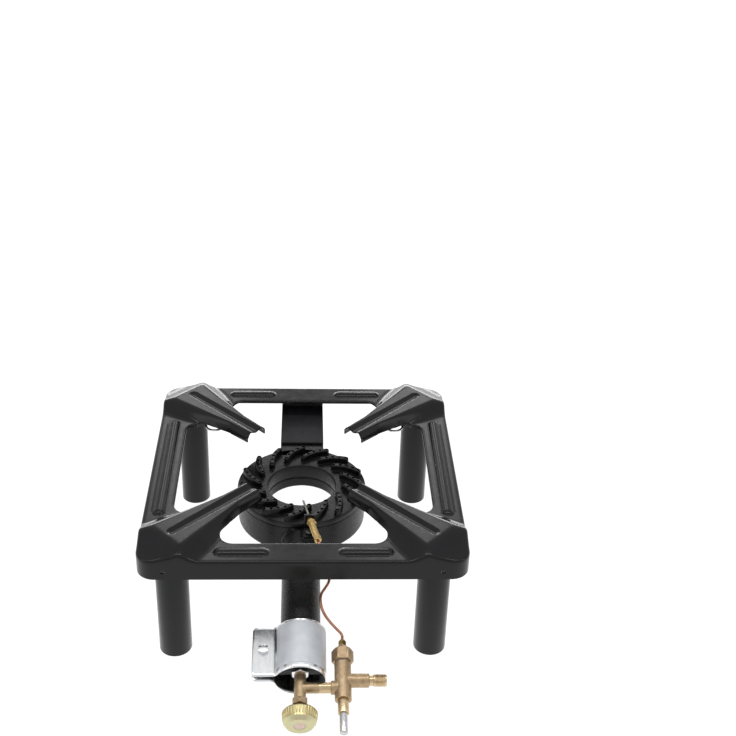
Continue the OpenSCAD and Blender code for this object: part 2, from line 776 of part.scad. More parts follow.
module strap_frame_bolts() color("#9da1a6") strap_bolt_places() {
    face = sheet_t / 2;
    bar(-face - strap_t - strap_screw_d * nut_height - thread_over, face + join, strap_screw_d / 2);
    hex_bar(face, face + strap_screw_d * head_height, strap_screw_d * flats);
}

module strap_frame_nuts() color("#9da1a6") strap_bolt_places() difference() {
    face = -sheet_t / 2 - strap_t;
    hex_bar(face - strap_screw_d * nut_height, face, strap_screw_d * flats);
    bar(face - strap_screw_d, face + cut, strap_screw_d / 2 + fit);
}

// Mouth of the mixing tube: collar for the shutter, and a bridge that holds the injector
module tube_mouth() {
    translate([0, -collar_drop, mouth_s]) cylinder(h = collar_l, r = collar_r);
    for (x = [-1, 1]) translate([x * (bar_x + bar_t / 2), -collar_drop, (mouth_s + bridge_s) / 2])
        cube([bar_t, bar_h, bridge_s - mouth_s], center = true);
    translate([0, -collar_drop, bridge_s - bridge_t / 2])
        cube([2 * bar_x + cut, bar_h, bridge_t], center = true);
    bar(bridge_s - bridge_t, bridge_s, boss_r);
}

// Lug at the rear of base or cap, from its lower face up
module rear_lug(t) translate([-strap_w / 2, ring_r - lug_root, 0])
    cube([strap_w, lug_reach - ring_r + lug_root, t]);

// Cast base: gas chamber, mixing tube, rear lug, pad for the thermocouple and mouth
module burner_base() color("#1f2022") difference() {
    union() {
        // ring with a sloping underside
        translate([burner_x, 0, 0]) difference() {
            bar(ring_base_z, outer_joint_z, ring_r);
            rotate_extrude() polygon([[0, rim_z], [hole_r, rim_z], [chamber_r, ring_base_z],
                [chamber_r, ring_base_z - cut], [0, ring_base_z - cut]]);
        }
        along_tube() {
            bar(tube_start_s, mouth_s + cut, tube_r);
            tube_mouth();
        }
        translate([burner_x, 0, outer_joint_z - lug_t]) rear_lug(lug_t);
        translate([sleeve_x - pad_w / 2, -ring_r - pad_l, tube_z])
            cube([pad_w, pad_l + cut, pad_z - tube_z]);
    }
    translate([burner_x, 0, 0]) {
        // hole through the ring, and the space that the cap takes
        bar(0, far, hole_r);
        bar(inner_joint_z, far, inner_wall_r + run);
        bar(outer_joint_z, far, cap_r + run);
        // gas chamber
        rotate_extrude() polygon([[inner_wall_r, rim_z + cast_wall], [inner_wall_r, far], [chamber_r, far],
            [chamber_r, ring_base_z + cast_wall]]);
    }
    along_tube() {
        bar(bore_start_s, mouth_s + collar_l + cut, tube_bore);
        bar(bridge_s - bridge_t - cut, bridge_s + cut, tail_r + fit);
    }
    lug_screw_places() bar(-lug_screw_l - cut, -cap_t + cut, strap_screw_d / 2 + fit);
    bracket_screw_place() bar(-pad_screw_l - cut, cut, bracket_screw_d / 2 + fit);
}

// One rib, seen from above
module rib_2d() {
    sector = 3 * rib_curve_r;
    a = rib_dir + 90;
    intersection() {
        translate(rib_c) difference() {
            circle(rib_curve_r + rib_w / 2);
            circle(rib_curve_r - rib_w / 2);
        }
        translate(rib_c)
            polygon([[0, 0], polar(sector, a - rib_half_angle), polar(sector, a + rib_half_angle)]);
    }
    for (p = [rib_p_in, rib_p_out]) translate(p) circle(d = rib_w);
}

// Places of one rib's flame ports
module port_places() {
    a = rib_dir + 90;
    for (i = [0:port_count - 1]) {
        share = i / (port_count - 1) * 2 - 1;
        translate(rib_c + polar(rib_curve_r, a + share * rib_half_angle)) children();
    }
}

// Cast cap: flat ring with curved ribs, flame ports, a rear lug, a wall round the hole and a register lip
module burner_cap() color("#1b1c1e") difference() {
    translate([burner_x, 0, 0]) difference() {
        union() {
            bar(outer_joint_z, cap_z, cap_r);
            bar(outer_joint_z - register_h, cap_z, chamber_r - run);
            bar(inner_joint_z, cap_z, inner_wall_r);
            translate([0, 0, outer_joint_z]) rear_lug(cap_t);
            for (k = [0:rib_count - 1]) rotate(k * 360 / rib_count)
                translate([0, 0, cap_z - cut]) linear_extrude(rib_h + cut) rib_2d();
        }
        bar(inner_joint_z - cut, far, hole_r);
        // gas space under the cap
        rotate_extrude() translate([inner_wall_r, inner_joint_z - cut])
            square([chamber_r - run - register_t - inner_wall_r, outer_joint_z - inner_joint_z + cut]);
        for (k = [0:rib_count - 1]) rotate(k * 360 / rib_count)
            port_places() translate([0, 0, outer_joint_z - cut])
                cylinder(h = cap_t + rib_h + 2 * cut, d = port_d, $fn = 24);
    }
    lug_screw_places() bar(-cap_t - cut, cut, strap_screw_d / 2 + fit);
}

// Filled outline of the shutter's section: round part, two bends and the leaves
module shutter_outline(r, bend_r, leaf_y, reach) {
    circle(r);
    for (b = leaf_bends) difference() {
        polygon([[0, 0], b, [b[0], leaf_mid]]);
        translate(b) circle(bend_r);
    }
    translate([-reach, leaf_mid - leaf_y]) square([reach - r / 2, 2 * leaf_y]);
}

// Zinc sheet wrapped round the mouth, with two clamp leaves
module air_shutter() color("#c7cacd") along_tube() translate([0, -collar_drop, shutter_s]) difference() {
    linear_extrude(shutter_l) difference() {
        shutter_outline(shutter_r, leaf_bend_r, leaf_face, leaf_reach);
        shutter_outline(shutter_in_r, leaf_bend_r + shutter_t, leaf_gap / 2, leaf_reach + cut);
    }
    // round corners of the leaves
    for (z = [0, 1]) translate([-leaf_reach, 0, z * shutter_l]) mirror([0, 0, z]) rotate([90, 0, 0])
        linear_extrude(far, center = true) difference() {
            translate([-cut, -cut]) square(leaf_corner_r + cut);
            translate([leaf_corner_r, leaf_corner_r]) circle(leaf_corner_r);
        }
    clamp_place() cylinder(h = far, d = clamp_d + 4 * fit, center = true);
}

// Place of the clamp bolt, from the middle of the leaves, pointing up
module clamp_place() translate([-clamp_x, leaf_mid, clamp_l]) rotate([-90, 0, 0]) children();

module shutter_bolt() color("#b9bdc2") along_tube() translate([0, -collar_drop, shutter_s]) clamp_place() {
    bar(-leaf_face - clamp_d * nut_height - thread_over, leaf_face + join, clamp_d / 2);
    hex_bar(leaf_face, leaf_face + clamp_d * head_height, clamp_d * flats);
}

module shutter_nut() color("#b9bdc2") along_tube() translate([0, -collar_drop, shutter_s]) clamp_place()
    difference() {
        hex_bar(-leaf_face - clamp_d * nut_height, -leaf_face, clamp_d * flats);
        bar(-leaf_face - clamp_d, -leaf_face + cut, clamp_d / 2 + fit);
    }

// Gas jet on the valve's tail, inside the mouth
module injector() color("#c9a54a") along_tube() difference() {
    nose_s = tail_rear_s - jet_l;
    union() {
        bar(nose_s, nose_s + jet_nose_l + join, jet_nose_r);
        hex_bar(nose_s + jet_nose_l, tail_rear_s, jet_af);
        bar(tail_rear_s - join, tail_rear_s + jet_spigot_l, jet_spigot_r);
    }
    bar(nose_s + 2, tail_rear_s + jet_spigot_l + cut, jet_bore);
    bar(nose_s - cut, nose_s + 2 + join, jet_hole_r);
}

module injector_nut() color("#cfd1d3") along_tube() difference() {
    hex_bar(bridge_s, lock_nut_front_s, lock_nut_af);
    bar(bridge_s - cut, lock_nut_front_s + cut, tail_r + fit);
}

// Control valve: threaded tail, body, branch to the right and bores
module control_valve_body() color("#b0854a") along_tube() difference() {
    union() {
        bar(tail_rear_s, lock_nut_front_s + join, tail_r);
        bar(lock_nut_front_s, valve_front_s, valve_r);
        translate([0, 0, cross_s]) side_bar(0, branch_end_x, cross_r);
    }
    bar(tail_rear_s - cut, tail_rear_s + jet_spigot_l + fit, jet_spigot_r + fit);
    bar(tail_rear_s, seat_s - seat_t, tail_bore);
    bar(seat_s - seat_t - cut, seat_s + join, seat_r);
    bar(seat_s, valve_front_s + cut, valve_bore);
    bar(valve_front_s - packing_t - pilot_l, valve_front_s + cut, packing_r);
    translate([0, 0, cross_s]) {
        side_bar(0, branch_end_x + cut, pipe_bore);
        side_bar(branch_end_x - pipe_joint_l, branch_end_x + cut, pipe_joint_r);
    }
}

// Packing ring that seals the spindle
module valve_packing() color("#3a3a3c") along_tube() difference() {
    bar(valve_front_s - packing_t - pilot_l, valve_front_s - pilot_l, packing_r - fit);
    bar(seat_s, gland_front_s, spindle_r + slim);
}

// Gland nut: it presses on the packing and guides the spindle
module gland_nut() color("#b88f45") along_tube() difference() {
    union() {
        bar(valve_front_s - pilot_l, valve_front_s + join, packing_r - fit);
        hex_bar(valve_front_s, valve_front_s + gland_t, gland_af);
        bar(valve_front_s + gland_t - join, gland_front_s, gland_hub_r);
    }
    bar(seat_s, gland_front_s + cut, spindle_r + slim);
}

// Spindle with its needle
module valve_spindle() color("#c2a259") along_tube() {
    bar(seat_s + needle_l, knob_front_s - dish_d - knob_screw_t, spindle_r);
    translate([0, 0, seat_s + run]) cylinder(h = needle_l - run + join, r1 = needle_r, r2 = spindle_r);
}

// Knob: tapered, fluted, with a hollow back and a bevelled face
module valve_knob() color("#b9a94c") along_tube() difference() {
    rotate_extrude() polygon([[0, knob_s], [knob_rear_r - knob_edge, knob_s],
        [knob_rear_r, knob_s + knob_edge], [knob_face_r, knob_front_s - knob_bevel_l],
        [knob_face_r - knob_bevel_w, knob_front_s], [0, knob_front_s]]);
    bar(knob_front_s - dish_d, knob_front_s + cut, dish_r);
    bar(knob_front_s - dish_d - knob_screw_t, knob_front_s, knob_screw_r + fit);
    bar(knob_s - cut, knob_front_s - dish_d, spindle_r + fit);
    rotate_extrude() translate([knob_hub_r, knob_s - cut])
        square([knob_face_r - knob_rim - knob_hub_r, knob_hollow_d + cut]);
    for (k = [0:knob_flutes - 1]) rotate(k * 360 / knob_flutes)
        translate([knob_rear_r, 0, knob_s - cut])
            rotate([0, -atan((knob_rear_r - knob_face_r) / (knob_l - knob_bevel_l)), 0])
                cylinder(h = knob_l - flute_front, r = flute_r, $fn = 16);
}

module knob_screw() color("#c8a9a0") along_tube()
    bar(knob_front_s - dish_d - knob_screw_t + slim, knob_front_s - dish_d + knob_screw_crown, knob_screw_r);

// Short pipe between the two valves
module outlet_nipple() color("#cda867") along_tube() translate([0, 0, cross_s]) difference() {
    socket_x = branch_end_x + nipple_l;
    union() {
        side_bar(branch_end_x, socket_x, cross_r);
        side_bar(branch_end_x - pipe_joint_l + fit, socket_x + pipe_joint_l - fit, pipe_joint_r - fit);
    }
    side_bar(0, safety_x, pipe_bore);
}

// Safety valve: body with outlet socket, inlet boss, seat web and chambers
module safety_valve_body() color("#a07a48") along_safety() difference() {
    union() {
        bar(safety_rear_s, safety_front_s, safety_r);
        translate([0, 0, cross_s]) side_bar(-socket_l, 0, socket_r);
        translate([0, 0, inlet_s]) side_bar(0, inlet_boss_l, inlet_boss_r);
    }
    bar(safety_rear_s - cut, web_s, rear_chamber_r);
    bar(web_s - cut, web_s + web_t + cut, seat_hole_r);
    bar(web_s + web_t, guide_rear_s + join, front_chamber_r);
    bar(guide_rear_s, safety_front_s + cut, guide_screw_r + fit);
    translate([0, 0, cross_s]) {
        translate([0, 0, 1]) side_bar(-socket_l, 0, outlet_hole_r);
        side_bar(-socket_l - cut, -socket_l + pipe_joint_l, pipe_joint_r);
    }
    translate([0, 0, inlet_s]) {
        translate([0, 0, -0.5]) side_bar(0, inlet_boss_l, inlet_hole_r);
        side_bar(inlet_boss_l - inlet_spigot_l, inlet_boss_l + cut, inlet_spigot_r);
    }
}

module bonnet_gasket() color("#6d6a66") along_safety() difference() {
    bar(bonnet_front_s, safety_rear_s, safety_r - gasket_inset);
    bar(bonnet_front_s - cut, safety_rear_s + cut, rear_chamber_r);
}

// Bonnet: hexagon cap screwed on the body's rear, with a neck for the thermocouple nut
module safety_valve_bonnet() color("#b98d58") along_safety() difference() {
    union() {
        hex_bar(bonnet_rear_s, bonnet_front_s, bonnet_af);
        translate([0, 0, neck_s]) cylinder(h = bonnet_neck_l + join, r1 = neck_rear_r, r2 = neck_front_r);
        bar(bonnet_front_s - join, safety_rear_s + bonnet_screw_l, rear_chamber_r - fit);
    }
    bar(magnet_rear_s - fit, safety_front_s, magnet_r + fit);
    bar(neck_s - cut, magnet_rear_s, thermo_screw_r);
}

// Magnet that holds the valve open while the thermocouple is hot
module magnet_unit() color("#8f9398") along_safety() difference() {
    bar(magnet_rear_s, magnet_front_s, magnet_r);
    bar(magnet_floor_s, magnet_front_s + cut, stem_r + run);
}

// Valve disc with its stem, pushed by the button
module valve_stem() color("#b7babd") along_safety() {
    face = web_s - fit;
    bar(magnet_floor_s + button_travel + magnet_gap, button_rear_s, stem_r);
    bar(face - disc_t, face, disc_r);
}

// Return spring inside the guide, drawn as its envelope
module button_spring() color("#a9adb1") along_safety() difference() {
    bar(guide_rear_s + guide_floor_t, button_rear_s - fit, spring_r);
    bar(guide_rear_s, button_rear_s + cut, spring_bore);
}

// Guide tube of the push button
module button_guide() color("#d0ab6d") along_safety() difference() {
    union() {
        bar(guide_rear_s, safety_front_s + join, guide_screw_r);
        bar(safety_front_s, guide_front_s, guide_r);
    }
    bar(guide_rear_s - cut, guide_front_s, stem_r + run);
    bar(guide_rear_s + guide_floor_t - fit, guide_front_s + cut, button_r + slim);
}

// Steel push button with a rounded end
module push_button() color("#c3c6ca") along_safety() rotate_extrude()
    polygon(concat([[0, button_rear_s], [button_r, button_rear_s]],
        arc([button_r - button_dome, button_front_s - button_dome], button_dome, 0, 90),
        [[0, button_front_s]]));

// Inlet: threaded nipple for the gas hose
module inlet_nipple() color("#cfaa68") along_safety() translate([0, 0, inlet_s]) difference() {
    thread_x = inlet_boss_l + inlet_neck_l;
    union() {
        side_bar(inlet_boss_l - inlet_spigot_l + fit, inlet_boss_l + join, inlet_spigot_r - fit);
        side_bar(inlet_boss_l, thread_x + join, inlet_neck_r);
        side_bar(thread_x, thread_x + inlet_thread_l, inlet_thread_r);
    }
    side_bar(0, thread_x + inlet_thread_l + cut, inlet_bore);
}

// Nut that clamps the lead into the bonnet's neck
module thermocouple_nut() color("#d9a93e") along_safety() difference() {
    union() {
        bar(thermo_nut_s, thermo_nut_s + thermo_hub_l + join, thermo_hub_r);
        hex_bar(thermo_nut_s + thermo_hub_l, neck_s, 2 * thermo_nut_r * cos(30));
        bar(neck_s - join, magnet_rear_s - cut, thermo_screw_r - fit);
    }
    bar(thermo_nut_s - cut, magnet_rear_s, lead_r + fit);
}

// Sleeve frame: z from the sleeve's upper end down its axis
module along_sleeve()
    translate(sleeve_top) rotate([0, 0, sleeve_turn]) rotate([90 + sleeve_fall, 0, 0]) children();

// Brass sleeve with its collar
module thermocouple_sleeve() color("#c7a04f") along_sleeve() difference() {
    union() {
        bar(-sleeve_nose, sleeve_l, sleeve_r);
        bar(sleeve_collar_d, sleeve_collar_d + sleeve_collar_t, sleeve_collar_r);
        hex_bar(sleeve_l - sleeve_hex_l - cut, sleeve_l - cut, 2 * sleeve_r);
    }
    bar(sleeve_l - lead_seat - cut, sleeve_l + cut, lead_r + fit);
    bar(-sleeve_nose - cut, tip_seat, tip_r + fit);
}

// Sensing tip that reaches into the flame
module thermocouple_tip() color("#a8a49b") along_sleeve() {
    bar(-tip_l, tip_seat - fit, tip_r);
    translate([0, 0, -tip_l]) sphere(tip_r);
}

// Place of the bracket's screw on the pad
module bracket_screw_place() translate([sleeve_x, pad_screw_y, pad_z]) children();

// Bracket: a foot on the pad, and an upright that the sleeve passes through
module thermocouple_bracket() color("#202123") difference() {
    translate([sleeve_x - thermo_bracket_w / 2, 0, pad_z]) {
        translate([0, -ring_r - pad_l, 0])
            cube([thermo_bracket_w, upright_y + ring_r + pad_l + join, thermo_bracket_t]);
        translate([0, upright_y, 0]) cube([thermo_bracket_w, thermo_bracket_t, upright_top_z - pad_z]);
    }
    along_sleeve() bar(-sleeve_l, sleeve_l, sleeve_r + fit);
    bracket_screw_place() bar(-cut, thermo_bracket_t + cut, bracket_screw_d / 2 + fit);
}

module bracket_screw() color("#8c9095") bracket_screw_place() {
    bar(-pad_screw_l, thermo_bracket_t + join, bracket_screw_d / 2);
    bar(thermo_bracket_t, thermo_bracket_t + pan_head_h, pan_head_d / 2);
}

// Point at distance s down the tube, x to the right of its axis and y above it
function tube_point(s, x, y) = [burner_x + x, tube_y - s * cos(tube_tilt) - y * sin(tube_tilt),
    tube_z - s * sin(tube_tilt) + y * cos(tube_tilt)];

// Point at distance d down the sleeve's axis
function sleeve_point(d) = sleeve_top + d * [sin(sleeve_turn) * cos(sleeve_fall),
    -cos(sleeve_turn) * cos(sleeve_fall), -sin(sleeve_fall)];

// Smooth curve through the points p, at share t between points i and i + 1
function spline_point(p, i, t) =
    let (n = len(p) - 1, a = p[max(i - 1, 0)], b = p[i], c = p[min(i + 1, n)], d = p[min(i + 2, n)])
    0.5 * (2 * b + (c - a) * t + (2 * a - 5 * b + 4 * c - d) * t * t + (3 * b - a - 3 * c + d) * t * t * t);

// Tube swept along points, with flat sides
module swept_tube(path, r, sides = 8) {
    n = len(path);
    turns = [for (k = [0:sides - 1]) k * 360 / sides];
    dirs = [for (i = [0:n - 1]) path[min(i + 1, n - 1)] - path[max(i - 1, 0)]];
    rings = [for (i = [0:n - 1])
        let (d = dirs[i], side = cross(d, [0, 0, 1]), up = cross(side, d))
        let (x = side / norm(side), y = up / norm(up))
        for (a = turns) path[i] + r * (x * cos(a) + y * sin(a))];
    walls = [for (i = [0:n - 2], k = [0:sides - 1])
        let (a = i * sides + k, b = i * sides + (k + 1) % sides)
        each [[a, b, b + sides], [a, b + sides, a + sides]]];
    first = [for (k = [sides - 1:-1:0]) k];
    last = [for (k = [0:sides - 1]) (n - 1) * sides + k];
    polyhedron(rings, concat([first], walls, [last]));
}

module thermocouple_lead() color("#a9583a") {
    start = [for (d = [-lead_seat, 1, 6]) sleeve_point(sleeve_l + d)];
    middle = [for (p = lead_route) tube_point(p[0], p[1], p[2])];
    end = [for (s = [thermo_nut_s - 6, thermo_nut_s - 1, lead_end_s]) tube_point(s, safety_x, 0)];
    points = concat(start, middle, end);
    path = [for (i = [0:len(points) - 2], t = [0:0.25:0.75]) spline_point(points, i, t)];
    swept_tube(concat(path, [points[len(points) - 1]]), lead_r);
}

top_frame();
leg_front_left();
leg_front_right();
leg_back_left();
leg_back_right();
leg_brackets();
ring_screws();
rear_strap();
strap_lug_screws();
strap_frame_bolts();
strap_frame_nuts();
burner_base();
burner_cap();
air_shutter();
shutter_bolt();
shutter_nut();
injector();
injector_nut();
control_valve_body();
valve_packing();
gland_nut();
valve_spindle();
valve_knob();
knob_screw();
outlet_nipple();
safety_valve_body();
bonnet_gasket();
safety_valve_bonnet();
magnet_unit();
valve_stem();
button_spring();
button_guide();
push_button();
inlet_nipple();
thermocouple_nut();
thermocouple_lead();
thermocouple_sleeve();
thermocouple_tip();
thermocouple_bracket();
bracket_screw();
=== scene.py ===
"""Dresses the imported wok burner: camera, light, finishes and the detailed pieces.

Metres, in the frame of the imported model: X to the right, Y to the back, Z up, the floor at zero.
"""
import math

import bmesh
import bpy
from mathutils import Matrix, Vector
from mathutils.geometry import delaunay_2d_cdt


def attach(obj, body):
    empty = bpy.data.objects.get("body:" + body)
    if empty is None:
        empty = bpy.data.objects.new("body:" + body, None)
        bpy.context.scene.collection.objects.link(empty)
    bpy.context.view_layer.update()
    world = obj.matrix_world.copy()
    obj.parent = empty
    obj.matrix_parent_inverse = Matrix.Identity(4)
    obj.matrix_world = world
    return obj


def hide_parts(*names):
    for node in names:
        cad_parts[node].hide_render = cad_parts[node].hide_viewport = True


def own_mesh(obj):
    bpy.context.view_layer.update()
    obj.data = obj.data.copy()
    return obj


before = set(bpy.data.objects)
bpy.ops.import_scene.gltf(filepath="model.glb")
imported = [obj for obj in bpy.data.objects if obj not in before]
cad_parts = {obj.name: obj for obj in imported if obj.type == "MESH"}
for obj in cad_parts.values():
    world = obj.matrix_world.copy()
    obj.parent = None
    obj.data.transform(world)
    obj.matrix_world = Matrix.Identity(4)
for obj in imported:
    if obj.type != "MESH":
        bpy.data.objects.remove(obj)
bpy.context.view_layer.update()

# Camera, fitted to the photograph
CAMERA_AT = (-0.00038, -1.15750, 0.94610)
CAMERA_PITCH = math.radians(30.013)
CAMERA_YAW = math.radians(3.454)
CAMERA_ROLL = math.radians(2.131)
CAMERA_LENS = 59.154

# Pressed frame
FRAME_HALF = 0.175
CORNER_R = 0.020
SKIRT_Z = 0.122
RAIL_Z = 0.145
SUPPORT_Z = 0.157
SHEET_T = 0.0015
RAIL_IN = 0.1425
FOLD_R = 0.0030
LIP_FOLD_R = 0.0022
LIP_Z = 0.1364
WINDOW_R = 0.015

# Arms, along the diagonal and across it
ARM_END = 0.082
KNEE = 0.115
END_FOOT = 0.0145
KNEE_FOOT = 0.016
TOP_SHARE = 0.74
HUMP_FLARE = 0.226
FLANK_SPREAD = 0.0035
SPREAD_RUN = (0.140, 0.178)
SHOULDER_SOFT = 0.006
RIDGE_SOFT = 0.004
FOOT_SOFT = 0.008
FOOT_RUN = (0.125, 0.165)
RIDGE = 0.2088
FACET_FALL = 0.58
HUMP_END = 0.222
GROOVE_TAIL = 0.196
GROOVE_HALF_W = (0.0076, 0.0058)
GROOVE_DEPTH = (0.0029, 0.0023)
GROOVE_FLOOR = 0.12
TIP_RISE = 0.003
LIP_RUN = (0.158, 0.182)

# Beads and holes
BEAD_HALF_W = 0.0062
BEAD_H = 0.0034
BEAD_LINE = 0.158
BEAD_FROM = 0.0433
BEAD_TO = 0.0875
SIDE_BEAD = 0.0885
SKIRT_HOLE = (0.146, 0.132, 0.0025)

# Spacing of the sheet's mesh
EDGE_STEP = 0.0018
ROW_STEP = 0.0020
GRID_STEP = 0.0022
CLEAR = 0.0004
ARM_CLEAR = 0.0036
SKIRT_CLEAR = 0.0042
LIP_CLEAR = 0.0030
BEAD_CLEAR = 1.15
LEAST_GAP = 0.00032
SKIRT_FIRST = 0.12
LIP_FIRST = 0.3
SKIRT_ROWS = (0.0002, 0.0005, 0.0010, 0.0016, 0.0023, 0.0031)
LIP_ROWS = (0.0002, 0.0006, 0.0013, 0.0023)
TIP_REACH = 0.1

# Legs and their ring screws
LEG_AT = 0.141
LEG_R = 0.01775
LEG_WALL = 0.002
LEG_TOP = 0.1515
RING_SCREW_Z = 0.1275
RING_AT = 0.1573
RING_R = 0.0105
RING_WIRE_R = 0.0015
M6 = (0.003, 0.001, 0.0005)
M6_BORE = 0.0031

# Burner ring and its ribs
BURNER_X = -0.003
CAP_Z = 0.118
CAP_T = 0.007
CAP_R = 0.0745
HOLE_R = 0.0395
BORE_WALL = 0.017
LUG = (0.026, 0.060, 0.1085)
RIB_COUNT = 15
RIB_H = 0.007
RIB_HALF_W = 0.003
RIB_IN = (0.049, math.radians(112))
RIB_OUT = (0.070, math.radians(89))
RIB_CURVE_R = 0.042
PORTS = 5
PORT_R = 0.0014
PORT_FLARE = 0.0009
CAP_IN_R = 0.0445
CAP_SEAT_R = 0.0688
CAST_EASE = 0.0012
TUBE_FROM_Y = -0.082

# Valve gear: distances run down the mixing tube's axis
TILT = math.radians(15)
TUBE_START = Vector((BURNER_X, -0.074, 0.090))
SAFETY_X = 0.044
MOUTH_DROP = 0.004
SHUTTER = (0.114, 0.172)
SHUTTER_R = 0.0265
SHUTTER_T = 0.001
LEAF_REACH = 0.050
LEAF_LINES = (0.009, -0.001)
LEAF_BEND_R = 0.0065
LEAF_CORNER_R = 0.004
CLAMP = (0.0385, 0.1415)
CLAMP_FLATS = 0.010
CLAMP_HEAD = 0.0042
CLAMP_NUT = 0.0048
CLAMP_TAIL = 0.0068
FOIL_S = (0.1160, 0.1660)
FOIL_ARC = (math.radians(158), math.radians(-24))
FOIL_T = 0.0001
FOIL_LIFT = 0.00008
FOIL_CORNER_R = 0.0012

# Control valve and knob
CROSS_S = 0.1825
LOCK_NUT = (0.162, 0.168, 0.017)
LOCK_NUT_BORE = 0.0051
GLAND_NUT = (0.1955, 0.2025, 0.015)
GLAND_HUB = (0.202, 0.2065)
GLAND_HUB_R = 0.0055
SPINDLE_R = 0.003
SPINDLE_BORE = 0.0031
NEEDLE_S = (0.1743, 0.177)
NEEDLE_R = 0.0009
SPINDLE_END = 0.2224
OUTLET = (0.0187, 0.0315)
OUTLET_R = (0.0025, 0.00565)
KNOB_REAR = 0.209
KNOB_WEB = 0.214
KNOB_EDGE = (0.2212, 0.0170)
KNOB_FRONT = 0.2260
KNOB_DISH = 0.2254
KNOB_HUB_R = 0.007
KNOB_RIM_R = 0.0135
KNOB_RIDGES = 36
RIDGE_ROOT = 0.0163

# Safety valve
INLET_S = 0.1745
BONNET = (0.1395, 0.1535, 0.020)
BONNET_BORE = 0.0036
BONNET_NECK = (0.1350, 0.1400)
LEAD_NUT = (0.129, 0.135, 0.008)
LEAD_NUT_HUB = (0.127, 0.1292)
LEAD_NUT_HUB_R = 0.0032
LEAD_BORE = 0.0016
GUIDE = (0.1970, 0.2120)
GUIDE_R = (0.0043, 0.00585)
BUTTON = (0.207, 0.2340)
BUTTON_R = 0.00425
SPRING = (0.1905, 0.2069)
SPRING_R = 0.0034
SPRING_WIRE_R = 0.0004
SPRING_TURNS = 8
INLET_NECK = (0.027, 0.0315)
INLET_NECK_R = 0.00538
INLET_BORE = 0.003
INLET_END = (0.0447, 0.0450)
INLET_THREAD = (0.00658, 0.001337, 0.0005)

# Thermocouple
SLEEVE_TOP = Vector((0.006, -0.074, 0.126))
SLEEVE_TURN = math.radians(16)
SLEEVE_FALL = math.radians(11)
SLEEVE_L = 0.035
SLEEVE_R = 0.004
COLLAR = (0.0056, 0.0096)
COLLAR_R = 0.0052
SLEEVE_FLATS = 0.0080
PROBE_R = 0.0012
PROBE_END = -0.0272
LEAD_R = 0.0015
LEAD_START = (-0.003, 0.001, 0.006)
LEAD_END = (0.121, 0.126, 0.133)
LEAD_ROUTE = ((46, 27, 34), (59.5, 31, 29.5), (69, 30, 24.5), (76, 26, 22.5), (83, 22, 22), (90.5, 21, 20.5),
              (98.5, 22.5, 18), (105, 26, 14.5), (110, 31, 10), (114.5, 37, 5), (118, 42, 1.5))

# Round chamfer of a hexagon, from a share of its flats
CHAMFER_FROM = 0.97
CHAMFER_SLOPE = 0.577

ROOT2 = math.sqrt(2)


# Helpers of all sections

def placed(name, data):
    """Object round its data, in the scene."""
    thing = bpy.data.objects.new(name, data)
    bpy.context.collection.objects.link(thing)
    return thing


def add_node(tree, kind, **values):
    """New node with the named inputs set; an underscore in a name stands for a space."""
    node = tree.nodes.new(kind)
    for label, value in values.items():
        node.inputs[label.replace("_", " ")].default_value = value
    return node


def connect(tree, *pairs):
    for source, target in pairs:
        tree.links.new(source, target)


def polar(radius, angle):
    return radius * Vector((math.cos(angle), math.sin(angle)))


def on_round(radius, angle, z):
    return radius * math.cos(angle), radius * math.sin(angle), z


# Camera and light

def place_camera():
    """Stands the camera where the photograph was taken from."""
    pitch, yaw, roll = CAMERA_PITCH, CAMERA_YAW, CAMERA_ROLL
    ahead = Vector((math.sin(yaw) * math.cos(pitch), math.cos(yaw) * math.cos(pitch), -math.sin(pitch)))
    level = Vector((math.cos(yaw), -math.sin(yaw), 0))
    rise = level.cross(ahead)
    right = math.cos(roll) * level + math.sin(roll) * rise
    up = math.cos(roll) * rise - math.sin(roll) * level
    data = bpy.data.cameras.new("photo_camera")
    data.sensor_width = 36
    data.lens = CAMERA_LENS
    camera = placed("photo_camera", data)
    camera.matrix_world = Matrix((right, up, -ahead)).transposed().to_4x4()
    camera.location = CAMERA_AT
    bpy.context.scene.camera = camera


def add_lamp(name, place, target, size, power):
    data = bpy.data.lights.new(name, "AREA")
    data.shape = "RECTANGLE"
    data.size, data.size_y = size
    data.energy = power
    lamp = placed(name, data)
    lamp.location = place
    lamp.rotation_euler = (Vector(target) - Vector(place)).to_track_quat("-Z", "Y").to_euler()


def seen_directly(tree):
    """Is 1 for camera, glossy and transmission rays, which see the white floor."""
    path = tree.nodes.new("ShaderNodeLightPath")
    first = tree.nodes.new("ShaderNodeMath")
    second = tree.nodes.new("ShaderNodeMath")
    first.operation = second.operation = "MAXIMUM"
    connect(tree, (path.outputs["Is Camera Ray"], first.inputs[0]),
            (path.outputs["Is Glossy Ray"], first.inputs[1]),
            (first.outputs[0], second.inputs[0]),
            (path.outputs["Is Transmission Ray"], second.inputs[1]))
    return second.outputs[0]


def light_studio():
    world = bpy.data.worlds.new("studio")
    bpy.context.scene.world = world
    world.use_nodes = True
    surround = world.node_tree.nodes["Background"]
    surround.inputs["Color"].default_value = (1, 1, 1, 1)
    surround.inputs["Strength"].default_value = 0.72
    middle, front = (0, 0, 0.15), (0, -0.1, 0.1)
    add_lamp("back_left", (-0.37, 2.2, 1.65), middle, (0.34, 1.2), 3.0)
    add_lamp("back_right", (0.37, 2.2, 1.65), middle, (0.34, 1.2), 3.0)
    add_lamp("low_panel", (0, 3.4, 0.5), middle, (3.6, 0.7), 40)
    add_lamp("top_strip", (0, -0.15, 1.6), middle, (2.0, 0.15), 8)
    add_lamp("left_window", (-1.4, -0.5, 0.9), front, (0.4, 1.2), 1.6)
    add_lamp("right_window", (1.4, -0.4, 0.8), front, (0.3, 1.2), 1.3)


